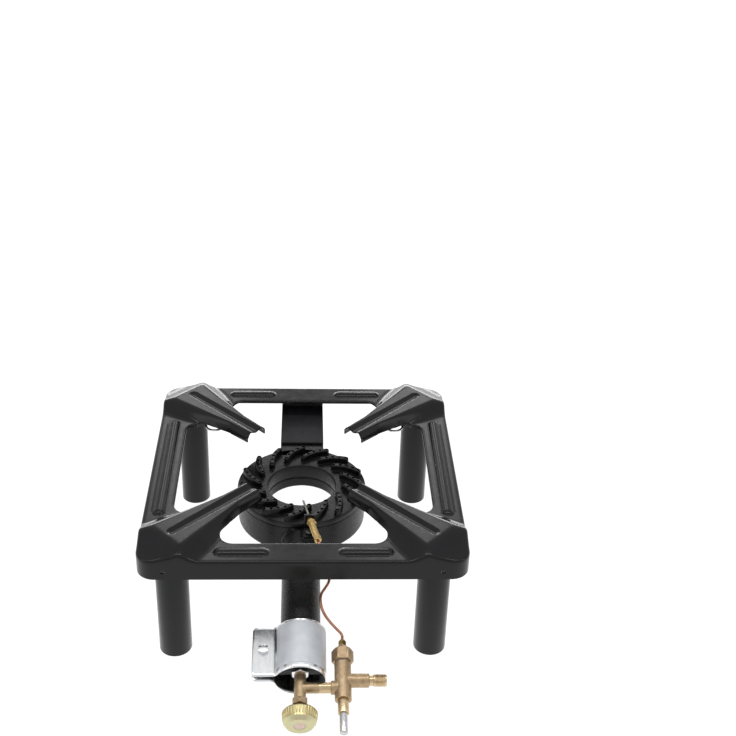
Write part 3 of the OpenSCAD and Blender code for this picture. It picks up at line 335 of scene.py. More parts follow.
def add_floor():
    mesh = bpy.data.meshes.new("floor")
    reach = 60
    corners = [(-reach, -reach, 0), (reach, -reach, 0), (reach, reach, 0), (-reach, reach, 0)]
    mesh.from_pydata(corners, [], [(0, 1, 2, 3)])
    floor = placed("floor", mesh)
    material = bpy.data.materials.new("white_floor")
    material.use_nodes = True
    tree = material.node_tree
    body = tree.nodes["Principled BSDF"]
    body.inputs["Base Color"].default_value = (0.14, 0.14, 0.14, 1)
    body.inputs["Roughness"].default_value = 0.9
    body.inputs["Specular IOR Level"].default_value = 0
    glow = add_node(tree, "ShaderNodeEmission", Strength=1.0)
    both = tree.nodes.new("ShaderNodeAddShader")
    mix = tree.nodes.new("ShaderNodeMixShader")
    connect(tree, (body.outputs[0], both.inputs[0]), (glow.outputs[0], both.inputs[1]),
            (seen_directly(tree), mix.inputs[0]), (body.outputs[0], mix.inputs[1]),
            (both.outputs[0], mix.inputs[2]),
            (mix.outputs[0], tree.nodes["Material Output"].inputs["Surface"]))
    mesh.materials.append(material)


# Finishes

class Finish:
    """A procedural material on Object coordinates, built a step at a time."""

    def __init__(self, name, metallic=0.0, specular=0.5, turn=(0, 0, 0), stretch=(1, 1, 1)):
        self.material = bpy.data.materials.new(name)
        self.material.use_nodes = True
        self.tree = self.material.node_tree
        self.body = self.tree.nodes["Principled BSDF"]
        self.body.inputs["Metallic"].default_value = metallic
        self.body.inputs["Specular IOR Level"].default_value = specular
        place = self.tree.nodes.new("ShaderNodeTexCoord")
        self.mapping = add_node(self.tree, "ShaderNodeMapping", Rotation=turn, Scale=stretch)
        self.link(place.outputs["Object"], self.mapping.inputs["Vector"])
        self.height = None

    def link(self, source, target):
        self.tree.links.new(source, target)

    def noise(self, scale, detail=4.0, rough=0.55):
        node = add_node(self.tree, "ShaderNodeTexNoise", Scale=scale, Detail=detail, Roughness=rough)
        self.link(self.mapping.outputs[0], node.inputs["Vector"])
        return node.outputs["Fac"]

    def rings(self, scale):
        node = add_node(self.tree, "ShaderNodeTexWave", Scale=scale, Distortion=0.6, Detail=2)
        node.bands_direction = "Z"
        self.link(self.mapping.outputs[0], node.inputs["Vector"])
        return node.outputs["Fac"]

    def ramp(self, value, stops):
        node = self.tree.nodes.new("ShaderNodeValToRGB")
        elements = node.color_ramp.elements
        while len(elements) < len(stops):
            elements.new(0.5)
        for element, (at, colour) in zip(elements, stops):
            element.position = at
            element.color = (*colour, 1)
        self.link(value, node.inputs["Fac"])
        return node.outputs["Color"]

    def colour(self, value, stops):
        self.link(self.ramp(value, stops), self.body.inputs["Base Color"])

    def roughness(self, value, low, high):
        node = add_node(self.tree, "ShaderNodeMapRange", From_Min=0.3, From_Max=0.7, To_Min=low, To_Max=high)
        self.link(value, node.inputs["Value"])
        self.link(node.outputs[0], self.body.inputs["Roughness"])

    def bump(self, value, strength, distance):
        node = add_node(self.tree, "ShaderNodeBump", Strength=strength, Distance=distance)
        self.link(value, node.inputs["Height"])
        if self.height:
            self.link(self.height, node.inputs["Normal"])
        self.height = node.outputs["Normal"]
        self.link(self.height, self.body.inputs["Normal"])


def stove_paint(name, dark, light, low, high):
    """Black stove paint: orange peel, faint cloudiness and rubbed spots."""
    finish = Finish(name, specular=0.30)
    finish.colour(finish.noise(38, 6, 0.6), ((0.35, dark), (0.72, light)))
    finish.roughness(finish.noise(90, 5), low, high)
    finish.bump(finish.noise(1500, 2), 0.010, 0.0006)
    finish.bump(finish.noise(260, 3), 0.008, 0.0012)
    return finish.material


def casting(name, dark, light, low, high, grain):
    """Painted sand casting: coarse grain over slow swells."""
    finish = Finish(name, specular=0.28)
    finish.colour(finish.noise(120, 8, 0.7), ((0.35, dark), (0.75, light)))
    finish.roughness(finish.noise(210, 6), low, high)
    finish.bump(finish.noise(900, 6, 0.7), grain, 0.0008)
    finish.bump(finish.noise(150, 3), 0.10, 0.0016)
    return finish.material


def plated(name, tones, low, high, scratch):
    """Plated sheet or bar: faint spangle and drawn scratches."""
    finish = Finish(name, metallic=1, turn=(-TILT, 0, 0), stretch=(1, 0.12, 1))
    finish.colour(finish.noise(300, 6, 0.6), tones)
    finish.roughness(finish.noise(800, 6, 0.65), low, high)
    finish.bump(finish.noise(2600, 3), scratch, 0.0002)
    return finish.material


def satin_film(name, dark, light):
    """Pale self-adhesive film with a soft sheen and slight ripples."""
    finish = Finish(name, metallic=0.25, specular=0.4, turn=(-TILT, 0, 0))
    finish.colour(finish.noise(90, 4, 0.5), ((0.35, dark), (0.7, light)))
    finish.roughness(finish.noise(240, 4), 0.34, 0.46)
    finish.bump(finish.noise(120, 2), 0.04, 0.0008)
    return finish.material


def turned_metal(name, tones, low, high, rings):
    """Metal off a lathe: fine rings across the axis and a soft tarnish."""
    finish = Finish(name, metallic=1, turn=(math.pi / 2 - TILT, 0, 0))
    finish.colour(finish.noise(160, 6, 0.6), tones)
    finish.roughness(finish.noise(420, 5), low, high)
    finish.bump(finish.rings(1500), rings, 0.0001)
    return finish.material


def pitted_brass(name):
    """Hot-stamped brass: brown bloom with fine pits."""
    finish = Finish(name, metallic=1)
    tones = ((0.3, (0.36, 0.25, 0.15)), (0.55, (0.50, 0.37, 0.23)), (0.8, (0.64, 0.48, 0.31)))
    finish.colour(finish.noise(140, 8, 0.65), tones)
    finish.roughness(finish.noise(500, 6), 0.36, 0.55)
    finish.bump(finish.noise(1700, 5, 0.7), 0.16, 0.0003)
    return finish.material


BLACK_PAINT = stove_paint("black_paint", (0.0020, 0.0020, 0.0030), (0.0044, 0.0044, 0.0058), 0.16, 0.25)
LEG_PAINT = stove_paint("leg_paint", (0.0030, 0.0032, 0.0044), (0.0062, 0.0066, 0.0082), 0.18, 0.28)
CAST_IRON = casting("cast_iron", (0.0015, 0.0015, 0.0015), (0.005, 0.005, 0.005), 0.24, 0.40, 0.16)
# Black paint lightened as painted light, so the strap in the shade under the back rail reads brighter.
LIT_STRAP_PAINT = stove_paint("strap_paint_with_painted_light", (0.010, 0.010, 0.012), (0.015, 0.015, 0.017), 0.46, 0.62)
TUBE_IRON = casting("tube_iron", (0.001, 0.001, 0.001), (0.004, 0.004, 0.005), 0.20, 0.36, 0.55)
ZINC = plated("zinc", ((0.3, (0.76, 0.78, 0.80)), (0.7, (0.86, 0.87, 0.88))), 0.16, 0.26, 0.014)
# Zinc darkened as painted shade, for the screws, bolts and nuts that sit in shade under the back rail and the
# bracket.
SHADED_ZINC = plated("zinc_with_painted_shade", ((0.3, (0.10, 0.10, 0.10)), (0.7, (0.18, 0.18, 0.18))), 0.34, 0.50, 0.02)
FOIL = satin_film("foil", (0.56, 0.58, 0.62), (0.64, 0.66, 0.69))
STEEL = turned_metal("turned_steel", ((0.3, (0.52, 0.52, 0.53)), (0.7, (0.68, 0.68, 0.68))), 0.16, 0.30, 0.06)
BRASS = turned_metal("turned_brass", ((0.3, (0.54, 0.40, 0.23)), (0.7, (0.70, 0.56, 0.37))), 0.22, 0.34, 0.03)
STAMPED = pitted_brass("stamped_brass")
GOLD = turned_metal("bright_brass", ((0.3, (0.50, 0.34, 0.13)), (0.7, (0.62, 0.45, 0.21))), 0.22, 0.32, 0.025)
CHROMATE_TONES = ((0.25, (0.50, 0.41, 0.20)), (0.5, (0.58, 0.49, 0.26)), (0.78, (0.48, 0.50, 0.28)))
CHROMATE = plated("chromate", CHROMATE_TONES, 0.28, 0.42, 0.03)
FACE_TONES = ((0.25, (0.62, 0.48, 0.36)), (0.5, (0.64, 0.60, 0.36)), (0.78, (0.48, 0.57, 0.34)))
CHROMATE_FACE = plated("chromate_face", FACE_TONES, 0.30, 0.44, 0.03)
ROSE = plated("rose_centre", ((0.3, (0.62, 0.46, 0.40)), (0.7, (0.72, 0.57, 0.50))), 0.34, 0.48, 0.03)
COPPER = turned_metal("copper", ((0.3, (0.46, 0.21, 0.13)), (0.7, (0.66, 0.34, 0.23))), 0.28, 0.42, 0.03)
PROBE = turned_metal("probe_steel", ((0.3, (0.22, 0.20, 0.18)), (0.7, (0.40, 0.38, 0.35))), 0.28, 0.46, 0.05)
FIBRE = casting("fibre", (0.16, 0.15, 0.14), (0.26, 0.25, 0.24), 0.70, 0.90, 0.20)


# Places of the sloping gear

def along_tube(x=0.0):
    """Frame whose z runs down the mixing tube, y up and x to the right."""
    down = Vector((0, -math.cos(TILT), -math.sin(TILT)))
    up = Vector((0, -math.sin(TILT), math.cos(TILT)))
    turn = Matrix((Vector((1, 0, 0)), up, down)).transposed().to_4x4()
    return Matrix.Translation(TUBE_START) @ turn @ Matrix.Translation((x, 0, 0))


def across(place, s):
    """Frame at distance s down a sloping axis whose z runs to the right."""
    return place @ Matrix.Translation((0, 0, s)) @ Matrix.Rotation(math.pi / 2, 4, "Y")


def along_sleeve():
    """Frame whose z runs down the sleeve, from the burner to the lead."""
    level = math.cos(SLEEVE_FALL)
    down = Vector((math.sin(SLEEVE_TURN) * level, -math.cos(SLEEVE_TURN) * level, -math.sin(SLEEVE_FALL)))
    side = down.cross(Vector((0, 0, 1))).normalized()
    return Matrix.Translation(SLEEVE_TOP) @ Matrix((side, down.cross(side), down)).transposed().to_4x4()


TUBE = along_tube()
VALVE = along_tube(SAFETY_X)
SLEEVE = along_sleeve()


# Making pieces

def new_piece(name, verts, faces, material, place=None):
    mesh = bpy.data.meshes.new(name)
    mesh.from_pydata([place @ Vector(v) if place else Vector(v) for v in verts], [], faces)
    mesh.materials.append(material)
    return placed(name, mesh)


def creased(piece, angle):
    """Shades a piece smooth and keeps edges sharper than the angle."""
    piece.data.shade_smooth()
    piece.data.set_sharp_from_angle(angle=math.radians(angle))
    return piece


def tidy(piece, crease=35, outward=True):
    """Merges doubles, turns faces outwards and shades smooth up to the crease angle."""
    mesh = piece.data
    bm = bmesh.new()
    bm.from_mesh(mesh)
    bmesh.ops.remove_doubles(bm, verts=bm.verts, dist=1e-6)
    if outward:
        bmesh.ops.recalc_face_normals(bm, faces=bm.faces)
    bm.to_mesh(mesh)
    bm.free()
    return creased(piece, crease)


def bake(piece):
    """Turns a piece and its modifiers into a plain mesh."""
    graph = bpy.context.evaluated_depsgraph_get()
    mesh = bpy.data.meshes.new_from_object(piece.evaluated_get(graph))
    piece.modifiers.clear()
    piece.data = mesh
    return piece


def fit(piece, body, slot, *nodes):
    """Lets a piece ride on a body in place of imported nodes."""
    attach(piece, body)
    if nodes:
        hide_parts(*nodes)


def joined(name, pieces):
    """One piece out of several, each with its own material."""
    mesh = bpy.data.meshes.new(name)
    bm = bmesh.new()
    materials = []
    for piece in pieces:
        shift = len(materials)
        materials.extend(piece.data.materials)
        start = len(bm.faces)
        bm.from_mesh(piece.data)
        bm.faces.ensure_lookup_table()
        for face in bm.faces[start:]:
            face.material_index += shift
        bpy.data.objects.remove(piece)
    bm.to_mesh(mesh)
    bm.free()
    for material in materials:
        mesh.materials.append(material)
    return placed(name, mesh)


def drilled(piece, pins):
    """Cuts the pins out of a piece."""
    cutter = joined("pins", pins)
    cut = piece.modifiers.new("holes", "BOOLEAN")
    cut.object = cutter
    cut.solver = "EXACT"
    bake(piece)
    bpy.data.objects.remove(cutter)
    return piece


def bevelled(piece, width, segments=1, angle=30):
    """Rounds the edges of a piece that are sharper than the angle."""
    edge = piece.modifiers.new("edge", "BEVEL")
    edge.width = width
    edge.segments = segments
    edge.limit_method = "ANGLE"
    edge.angle_limit = math.radians(angle)
    return bake(piece)


def eased(profile, radius):
    """Rounds the corners of an open profile of (z, r) points."""
    steps = 3
    points = [Vector(p) for p in profile]
    out = [points[0]]
    for before, corner, after in zip(points, points[1:], points[2:]):
        a, b = before - corner, after - corner
        cut = min(radius, a.length * 0.45, b.length * 0.45)
        if cut < 1e-6 or a.angle(b) > math.radians(170):
            out.append(corner)
            continue
        first, last = corner + a.normalized() * cut, corner + b.normalized() * cut
        for i in range(steps + 1):
            t = i / steps
            out.append(first * (1 - t) ** 2 + corner * 2 * t * (1 - t) + last * t ** 2)
    out.append(points[-1])
    return [(p.x, p.y) for p in out]


def ring_profile(ends, bore, radius, closed=True):
    """Section of a plain ring between two distances, open or closed along the bore."""
    low, high = ends
    profile = [(low, bore), (low, radius), (high, radius), (high, bore)]
    return profile + [(low, bore)] if closed else profile


def row_faces(rows, count, closed):
    """Quads between rows of points; closed joins the ends of each row."""
    faces = []
    for i in range(rows - 1):
        for k in range(count if closed else count - 1):
            a, b = i * count + k, i * count + (k + 1) % count
            faces.append((a, b, b + count, a + count))
    return faces


def turned(name, profile, material, place, ease=0.0003, sides=72, radius_at=None):
    """Turns an open profile of (z, r) points; radius_at reshapes the round for a hexagon."""
    profile = eased(profile, ease) if ease else profile
    verts, rows = [], []
    for z, r in profile:
        if r < 1e-6:
            rows.append([len(verts)] * sides)
            verts.append((0, 0, z))
            continue
        rows.append(list(range(len(verts), len(verts) + sides)))
        for k in range(sides):
            angle = 2 * math.pi * k / sides
            reach = min(r, radius_at(angle)) if radius_at else r
            verts.append(on_round(reach, angle, z))
    faces = []
    for low, high in zip(rows, rows[1:]):
        for k in range(sides):
            ring = [low[k], low[(k + 1) % sides], high[(k + 1) % sides], high[k]]
            ring = [v for i, v in enumerate(ring) if v not in ring[:i]]
            if len(ring) > 2:
                faces.append(ring)
    return tidy(new_piece(name, verts, faces, material, place))


def hexagon(name, z0, z1, flats, material, place, bore=0.0, turn=0.0):
    """Hexagon bar or nut with the round chamfer of a turned end."""
    half = flats / 2
    corner = half / math.cos(math.pi / 6)

    def flat_reach(angle):
        return half / math.cos((angle - turn + math.pi / 6) % (math.pi / 3) - math.pi / 6)

    start = half * CHAMFER_FROM
    slope = (corner - start) * CHAMFER_SLOPE
    rise = [(slope * share, start + (corner - start) * share) for share in (0, 0.35, 0.7, 1)]
    profile = [(z0, bore)] + [(z0 + z, r) for z, r in rise]
    profile += [(z1 - z, r) for z, r in reversed(rise)] + [(z1, bore)]
    if bore:
        profile.append((z0, bore))
    return turned(name, profile, material, place, ease=0, sides=96, radius_at=flat_reach)


def threaded(name, z0, z1, r, pitch, depth, material, place, sides):
    """Screw thread with flat ends, cut along a helix."""
    steps = 4
    shape = (0, depth * 0.5, depth, depth * 0.5)
    count = int((z1 - z0) / pitch * steps)
    verts, faces = [], []
    for i in range(-steps, count + 2 * steps):
        for k in range(sides):
            angle = 2 * math.pi * k / sides
            z = z0 + (i / steps + k / sides) * pitch
            end = min(z - z0, z1 - z)
            taper = max(0.0, min(1.0, end / pitch))
            reach = r - depth + (depth - shape[i % steps]) * taper
            verts.append(on_round(reach, angle, min(max(z, z0), z1)))
    total = count + 3 * steps
    for i in range(total - 1):
        for k in range(sides - 1):
            a = i * sides + k
            faces.append((a, a + 1, a + 1 + sides, a + sides))
        if i + steps + 1 < total:
            a = i * sides + sides - 1
            faces.append((a, (i + steps) * sides, (i + steps + 1) * sides, a + sides))
    piece = new_piece(name, verts, faces, material, place)
    return tidy(piece, 60, outward=False)


def block(name, low, high, material, radius):
    """Box between two corners with rounded edges."""
    verts = [(x, y, z) for x in (low[0], high[0]) for y in (low[1], high[1]) for z in (low[2], high[2])]
    faces = [(0, 1, 3, 2), (4, 6, 7, 5), (0, 4, 5, 1), (2, 3, 7, 6), (0, 2, 6, 4), (1, 5, 7, 3)]
    return tidy(bevelled(tidy(new_piece(name, verts, faces, material)), radius, 3))


def packed_copy(name, node, material, flatten=False):
    """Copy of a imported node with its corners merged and, where asked, its flat faces whole."""
    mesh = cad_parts[node].data.copy()
    mesh.materials.clear()
    mesh.materials.append(material)
    bm = bmesh.new()
    bm.from_mesh(mesh)
    bmesh.ops.remove_doubles(bm, verts=bm.verts, dist=2e-6)
    if flatten:
        bmesh.ops.dissolve_limit(bm, angle_limit=math.radians(0.5), verts=bm.verts, edges=bm.edges)
    for face in bm.faces:
        face.material_index = 0
    bm.to_mesh(mesh)
    bm.free()
    return placed(name, mesh)


def softened(name, node, material, width):
    """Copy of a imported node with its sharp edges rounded."""
    return creased(bevelled(packed_copy(name, node, material, True), width, 2), 40)


def cast_copy(name, node, material, voxel, rounds):
    """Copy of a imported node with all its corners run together, as a casting's are."""
    piece = packed_copy(name, node, material)
    remesh = piece.modifiers.new("skin", "REMESH")
    remesh.mode = "VOXEL"
    remesh.voxel_size = voxel
    smooth = piece.modifiers.new("rounding", "SMOOTH")
    smooth.factor = 0.5
    smooth.iterations = rounds
    bake(piece)
    piece.data.shade_smooth()
    return piece


# Geometry Nodes: repeats round an axis, and tubes along a path

def new_tree(name, output, **inputs):
    """Node tree with the named inputs and one geometry output, and its two end nodes."""
    tree = bpy.data.node_groups.new(name, "GeometryNodeTree")
    for label, kind in inputs.items():
        tree.interface.new_socket(label, in_out="INPUT", socket_type="NodeSocket" + kind)
    tree.interface.new_socket(output, in_out="OUTPUT", socket_type="NodeSocketGeometry")
    return tree, tree.nodes.new("NodeGroupInput"), tree.nodes.new("NodeGroupOutput")


def round_repeat_tree():
    tree, source, target = new_tree("repeat_round_axis", "Ring", Element="Geometry", Count="Int",
                                    Finish="Material")
    nodes = tree.nodes
    points = nodes.new("GeometryNodePoints")
    index = nodes.new("GeometryNodeInputIndex")
    share = nodes.new("ShaderNodeMath")
    share.operation = "DIVIDE"
    turn = nodes.new("ShaderNodeMath")
    turn.operation = "MULTIPLY"
    turn.inputs[1].default_value = 2 * math.pi
    axis = nodes.new("ShaderNodeCombineXYZ")
    instances = nodes.new("GeometryNodeInstanceOnPoints")
    real = nodes.new("GeometryNodeRealizeInstances")
    finish = nodes.new("GeometryNodeSetMaterial")
    connect(tree, (source.outputs["Count"], points.inputs["Count"]), (index.outputs[0], share.inputs[0]),
            (source.outputs["Count"], share.inputs[1]), (share.outputs[0], turn.inputs[0]),
            (turn.outputs[0], axis.inputs["Z"]), (points.outputs[0], instances.inputs["Points"]),
            (source.outputs["Element"], instances.inputs["Instance"]),
            (axis.outputs[0], instances.inputs["Rotation"]), (instances.outputs[0], real.inputs[0]),
            (real.outputs[0], finish.inputs["Geometry"]),
            (source.outputs["Finish"], finish.inputs["Material"]), (finish.outputs[0], target.inputs["Ring"]))
    return tree


def tube_tree():
    tree, source, target = new_tree("tube_along_path", "Tube", Path="Geometry", Radius="Float", Sides="Int",
                                    Finish="Material")
    nodes = tree.nodes
    curve = nodes.new("GeometryNodeMeshToCurve")
    profile = nodes.new("GeometryNodeCurvePrimitiveCircle")
    sweep = nodes.new("GeometryNodeCurveToMesh")
    sweep.inputs["Fill Caps"].default_value = True
    smooth = nodes.new("GeometryNodeSetShadeSmooth")
    real = nodes.new("GeometryNodeRealizeInstances")
    finish = nodes.new("GeometryNodeSetMaterial")
    connect(tree, (source.outputs["Path"], curve.inputs["Mesh"]),
            (source.outputs["Sides"], profile.inputs["Resolution"]),
            (source.outputs["Radius"], profile.inputs["Radius"]), (curve.outputs[0], sweep.inputs["Curve"]),
            (profile.outputs["Curve"], sweep.inputs["Profile Curve"]),
            (sweep.outputs[0], smooth.inputs["Geometry"]), (smooth.outputs[0], real.inputs[0]),
            (real.outputs[0], finish.inputs["Geometry"]),
            (source.outputs["Finish"], finish.inputs["Material"]), (finish.outputs[0], target.inputs["Tube"]))
    return tree


ROUND_REPEAT = round_repeat_tree()
TUBE_ALONG = tube_tree()


def run_tree(piece, tree, **values):
    """Runs a node tree on a piece with the named inputs, and keeps the plain mesh."""
    modifier = piece.modifiers.new(tree.name, "NODES")
    modifier.node_group = tree
    for item in tree.interface.items_tree:
        if item.item_type == "SOCKET" and item.in_out == "INPUT" and item.name in values:
            modifier[item.identifier] = values[item.name]
    return bake(piece)


def wire(name, path, radius, sides, material):
    """Round wire that follows the points."""
    piece = placed(name, bpy.data.meshes.new(name))
    piece.data.from_pydata(path, [(i, i + 1) for i in range(len(path) - 1)], [])
    return run_tree(piece, TUBE_ALONG, Radius=radius, Sides=sides, Finish=material)


def moved(piece, place):
    """Puts a piece made round its own axis where it belongs."""
    piece.data.transform(place)
    piece.data.update()
    return piece


# Pressed frame

def soft_min(a, b, k):
    if k <= 0:
        return min(a, b)
    h = max(k - abs(a - b), 0) / k
    return min(a, b) - h * h * k / 4


def soft_max(a, b, k):
    return -soft_min(-a, -b, k)


def share_of(value, low, high):
    return max(0.0, min(1.0, (value - low) / (high - low)))


def arm_foot(u):
    if u < KNEE:
        return END_FOOT + (KNEE_FOOT - END_FOOT) * (u - ARM_END) / (KNEE - ARM_END)
    return KNEE_FOOT + (u - KNEE) * HUMP_FLARE


def between(pair, share):
    return pair[0] + (pair[1] - pair[0]) * share


def groove_half(u):
    return between(GROOVE_HALF_W, share_of(u, ARM_END, GROOVE_TAIL))


def groove_drop(u, v):
    """Depth of the arm's groove with its sloping sides, shallower towards the corner."""
    depth = between(GROOVE_DEPTH, share_of(u, ARM_END, GROOVE_TAIL))
    off = math.hypot(max(0.0, u - GROOVE_TAIL), v) / groove_half(u)
    return depth * (1 - share_of(off, GROOVE_FLOOR, 1.0))


def bead_off(x, y):
    """Distance from the middle of the nearest bead, as a share of its half width."""
    beads = ((BEAD_FROM, BEAD_TO, x, y), (-FRAME_HALF, SIDE_BEAD, y, x))
    return min(math.hypot(max(start - run, run - stop, 0.0), side - BEAD_LINE)
               for start, stop, run, side in beads) / BEAD_HALF_W


def bead_rise(x, y):
    """Height of the round beads on the rails."""
    return BEAD_H * max(0.0, 1 - bead_off(x, y) ** 2) ** 0.6


def window_centre():
    """Centre of the window's round corner between rail and hump, and where its arc ends."""
    flare = math.atan(HUMP_FLARE)
    y = RAIL_IN - WINDOW_R
    reach = y * (1 - HUMP_FLARE) / ROOT2 - KNEE_FOOT + KNEE * HUMP_FLARE - WINDOW_R / math.cos(flare)
    return reach * ROOT2 / (1 + HUMP_FLARE), y, flare - math.pi / 4


WINDOW_X, WINDOW_Y, WINDOW_TURN = window_centre()


def lip_gap(x, y):
    """Distance from the window's edge to a point of the rail, and how round that edge is."""
    a, b = min(x, y), max(x, y)
    if a <= WINDOW_X:
        return b - RAIL_IN, 1.0
    angle = math.atan2(b - WINDOW_Y, a - WINDOW_X)
    return math.hypot(a - WINDOW_X, b - WINDOW_Y) - WINDOW_R, share_of(angle, WINDOW_TURN, 0.6)


def skirt_gap(x, y):
    """Distance from the frame's outer face to a point inside it."""
    edge = FRAME_HALF - CORNER_R
    if x > edge and y > edge:
        return CORNER_R - math.hypot(x - edge, y - edge)
    return FRAME_HALF - max(x, y)


def fold_drop(gap, radius):
    if radius <= 0 or gap >= radius:
        return 0.0
    return radius - math.sqrt(max(0.0, radius ** 2 - (radius - gap) ** 2))


def sheet_height(x, y):
    """Height of the pressed sheet in the quarter where x and y are positive."""
    u, v = (x + y) / ROOT2, abs(x - y) / ROOT2
    foot = arm_foot(u)
    top = foot * TOP_SHARE
    low = RAIL_Z + TIP_RISE * (1 - share_of(u, ARM_END, KNEE)) + fold_drop(u - ARM_END, TIP_RISE)
    spread = foot + FLANK_SPREAD * share_of(u, *SPREAD_RUN)
    flank = low + (SUPPORT_Z - low) * (spread - v) / (spread - top)
    hump = soft_min(SUPPORT_Z, flank, SHOULDER_SOFT) - groove_drop(u, v)
    hump = soft_min(hump, SUPPORT_Z - FACET_FALL * (u - RIDGE), RIDGE_SOFT)
    z = soft_max(RAIL_Z + bead_rise(x, y), hump, FOOT_SOFT * share_of(u, *FOOT_RUN))
    if v > foot + 2e-6:
        gap, roundness = lip_gap(x, y)
        z -= fold_drop(max(gap, 0.0), LIP_FOLD_R * roundness)
    return z - fold_drop(max(skirt_gap(x, y), 0.0), FOLD_R)


def line_points(a, b, step):
    a, b = Vector(a), Vector(b)
    count = max(1, round((b - a).length / step))
    return [a.lerp(b, i / count) for i in range(count)]


def arc_points(centre, radius, start, stop, count):
    return [Vector(centre) + polar(radius, start + (stop - start) * i / count) for i in range(count)]


def swapped(points):
    return [Vector((p.y, p.x)) for p in points]


def window_side(grow):
    """Edge of the back window from its middle to the hump, moved into the rail by grow."""
    middle = (WINDOW_X, WINDOW_Y)
    return (line_points((0, RAIL_IN + grow), (WINDOW_X, RAIL_IN + grow), EDGE_STEP)
            + arc_points(middle, WINDOW_R + grow, math.pi / 2, WINDOW_TURN, 24))


def arm_side():
    """Edge of the arm from the hump to its end."""
    start = Vector((WINDOW_X + WINDOW_R * math.cos(WINDOW_TURN),
                    WINDOW_Y + WINDOW_R * math.sin(WINDOW_TURN)))
    knee = Vector((KNEE - KNEE_FOOT, KNEE + KNEE_FOOT)) / ROOT2
    tip = Vector((ARM_END - END_FOOT, ARM_END + END_FOOT)) / ROOT2
    return line_points(start, knee, EDGE_STEP) + line_points(knee, tip, EDGE_STEP) + [tip]


def skirt_side(inset):
    """Outer edge of a quarter, moved inwards by inset."""
    edge, side = FRAME_HALF - CORNER_R, FRAME_HALF - inset
    return (line_points((side, 0), (side, edge), EDGE_STEP)
            + arc_points((edge, edge), CORNER_R - inset, 0, math.pi / 2, 24)
            + line_points((edge, side), (0, side), EDGE_STEP)
            + [Vector((0, side))])


def bead_points():
    """Points along and round the ends of a quarter's two beads."""
    points = []
    for share in (0, 0.3, 0.55, 0.75, 0.88, 0.95, 1.0, 1.06):
        reach = share * BEAD_HALF_W
        for start, stop in ((BEAD_FROM, BEAD_TO), (-GRID_STEP, SIDE_BEAD)):
            run = line_points((start, 0), (stop, 0), GRID_STEP) + [Vector((stop, 0))]
            line = [Vector((p.x, BEAD_LINE + side * reach)) for side in (-1, 1) for p in run]
            line += arc_points((stop, BEAD_LINE), reach, -math.pi / 2, math.pi / 2, 14)
            if start > 0:
                line += arc_points((start, BEAD_LINE), reach, math.pi / 2, 1.5 * math.pi, 14)
            points += line if start > 0 else swapped(line)
    return points


def arm_points():
    """Points of the arm and its hump, dense along the groove and the shoulders."""
    points = []
    shares = [i / 16 for i in range(10)] + [0.60, 0.64, 0.68, 0.71, 0.74, 0.77, 0.80, 0.83, 0.87, 0.92, 0.97]
    sides = (0, 0.25, 0.42, 0.55, 0.68, 0.8, 0.9, 0.97, 1.02, 1.1)
    rows = int((HUMP_END - ARM_END) / ROW_STEP)
    for i in range(1, rows):
        u = ARM_END + (HUMP_END - ARM_END) * i / rows
        groove = groove_half(u) if u < GROOVE_TAIL else 0.0
        offsets = [groove * share for share in sides] if groove else []
        offsets += [arm_foot(u) * share for share in shares if arm_foot(u) * share > groove * 1.2]
        for v in offsets:
            for side in (-1, 1):
                points.append(Vector((u - v * side, u + v * side)) / ROOT2)
    for share in sides[1:]:
        reach = groove_half(GROOVE_TAIL) * share
        for p in arc_points((GROOVE_TAIL, 0), reach, -math.pi / 2, math.pi / 2, 16):
            points.append(Vector((p.x - p.y, p.x + p.y)) / ROOT2)
    return points


def spaced(points, kept, least):
    """Those of the points that stand clear of the kept ones and of each other."""
    cells = {}

    def near(p):
        i, j = int(p.x // least), int(p.y // least)
        return (q for a in (i - 1, i, i + 1) for b in (j - 1, j, j + 1) for q in cells.get((a, b), ()))

    for p in kept:
        cells.setdefault((int(p.x // least), int(p.y // least)), []).append(p)
    out = []
    for p in points:
        if all((p - q).length > least for q in near(p)):
            cells.setdefault((int(p.x // least), int(p.y // least)), []).append(p)
            out.append(p)
    return out


def quarter_points():
    """Outline of a quarter of the sheet, and points inside it that follow its forms."""
    inner = window_side(0) + arm_side()
    back = swapped(inner)[::-1]
    tip = line_points(inner[-1], back[0], EDGE_STEP / 2)[1:]
    outline = skirt_side(0)
    outline += line_points((0, FRAME_HALF), (0, RAIL_IN), EDGE_STEP)[1:]
    outline += inner + tip + back
    outline += line_points((RAIL_IN, 0), (FRAME_HALF, 0), EDGE_STEP)[1:]
    folds = []
    for inset in SKIRT_ROWS:
        folds += skirt_side(inset)[1:-1]
    for grow in LIP_ROWS:
        side = window_side(grow)[1:]
        folds += side + swapped(side)
    folds = [p for p in folds if min(p) > CLEAR]
    forms = [p for p in arm_points() if skirt_gap(p.x, p.y) > ARM_CLEAR]
    forms += [p for p in bead_points() if min(p) > CLEAR]
    for i in range(1, int(FRAME_HALF / GRID_STEP)):
        for j in range(1, int(FRAME_HALF / GRID_STEP)):
            x, y = i * GRID_STEP, j * GRID_STEP
            u, v = (x + y) / ROOT2, abs(x - y) / ROOT2
            on_arm = v < arm_foot(u) + CLEAR and u < HUMP_END + 0.0005
            if skirt_gap(x, y) < SKIRT_CLEAR or bead_off(x, y) < BEAD_CLEAR or on_arm:
                continue
            if u > ARM_END and (v < arm_foot(u) or lip_gap(x, y)[0] > LIP_CLEAR):
                forms.append(Vector((x, y)))
    return outline, folds + spaced(forms, outline + folds, LEAST_GAP)


def skirt_end(x, y):
    return SKIRT_Z


def lip_end(x, y):
    """Height where the folded lip ends; towards the arm it runs out."""
    u = (abs(x) + abs(y)) / ROOT2
    return LIP_Z + (RAIL_Z - LIP_Z) * (1 - share_of(u, *LIP_RUN))


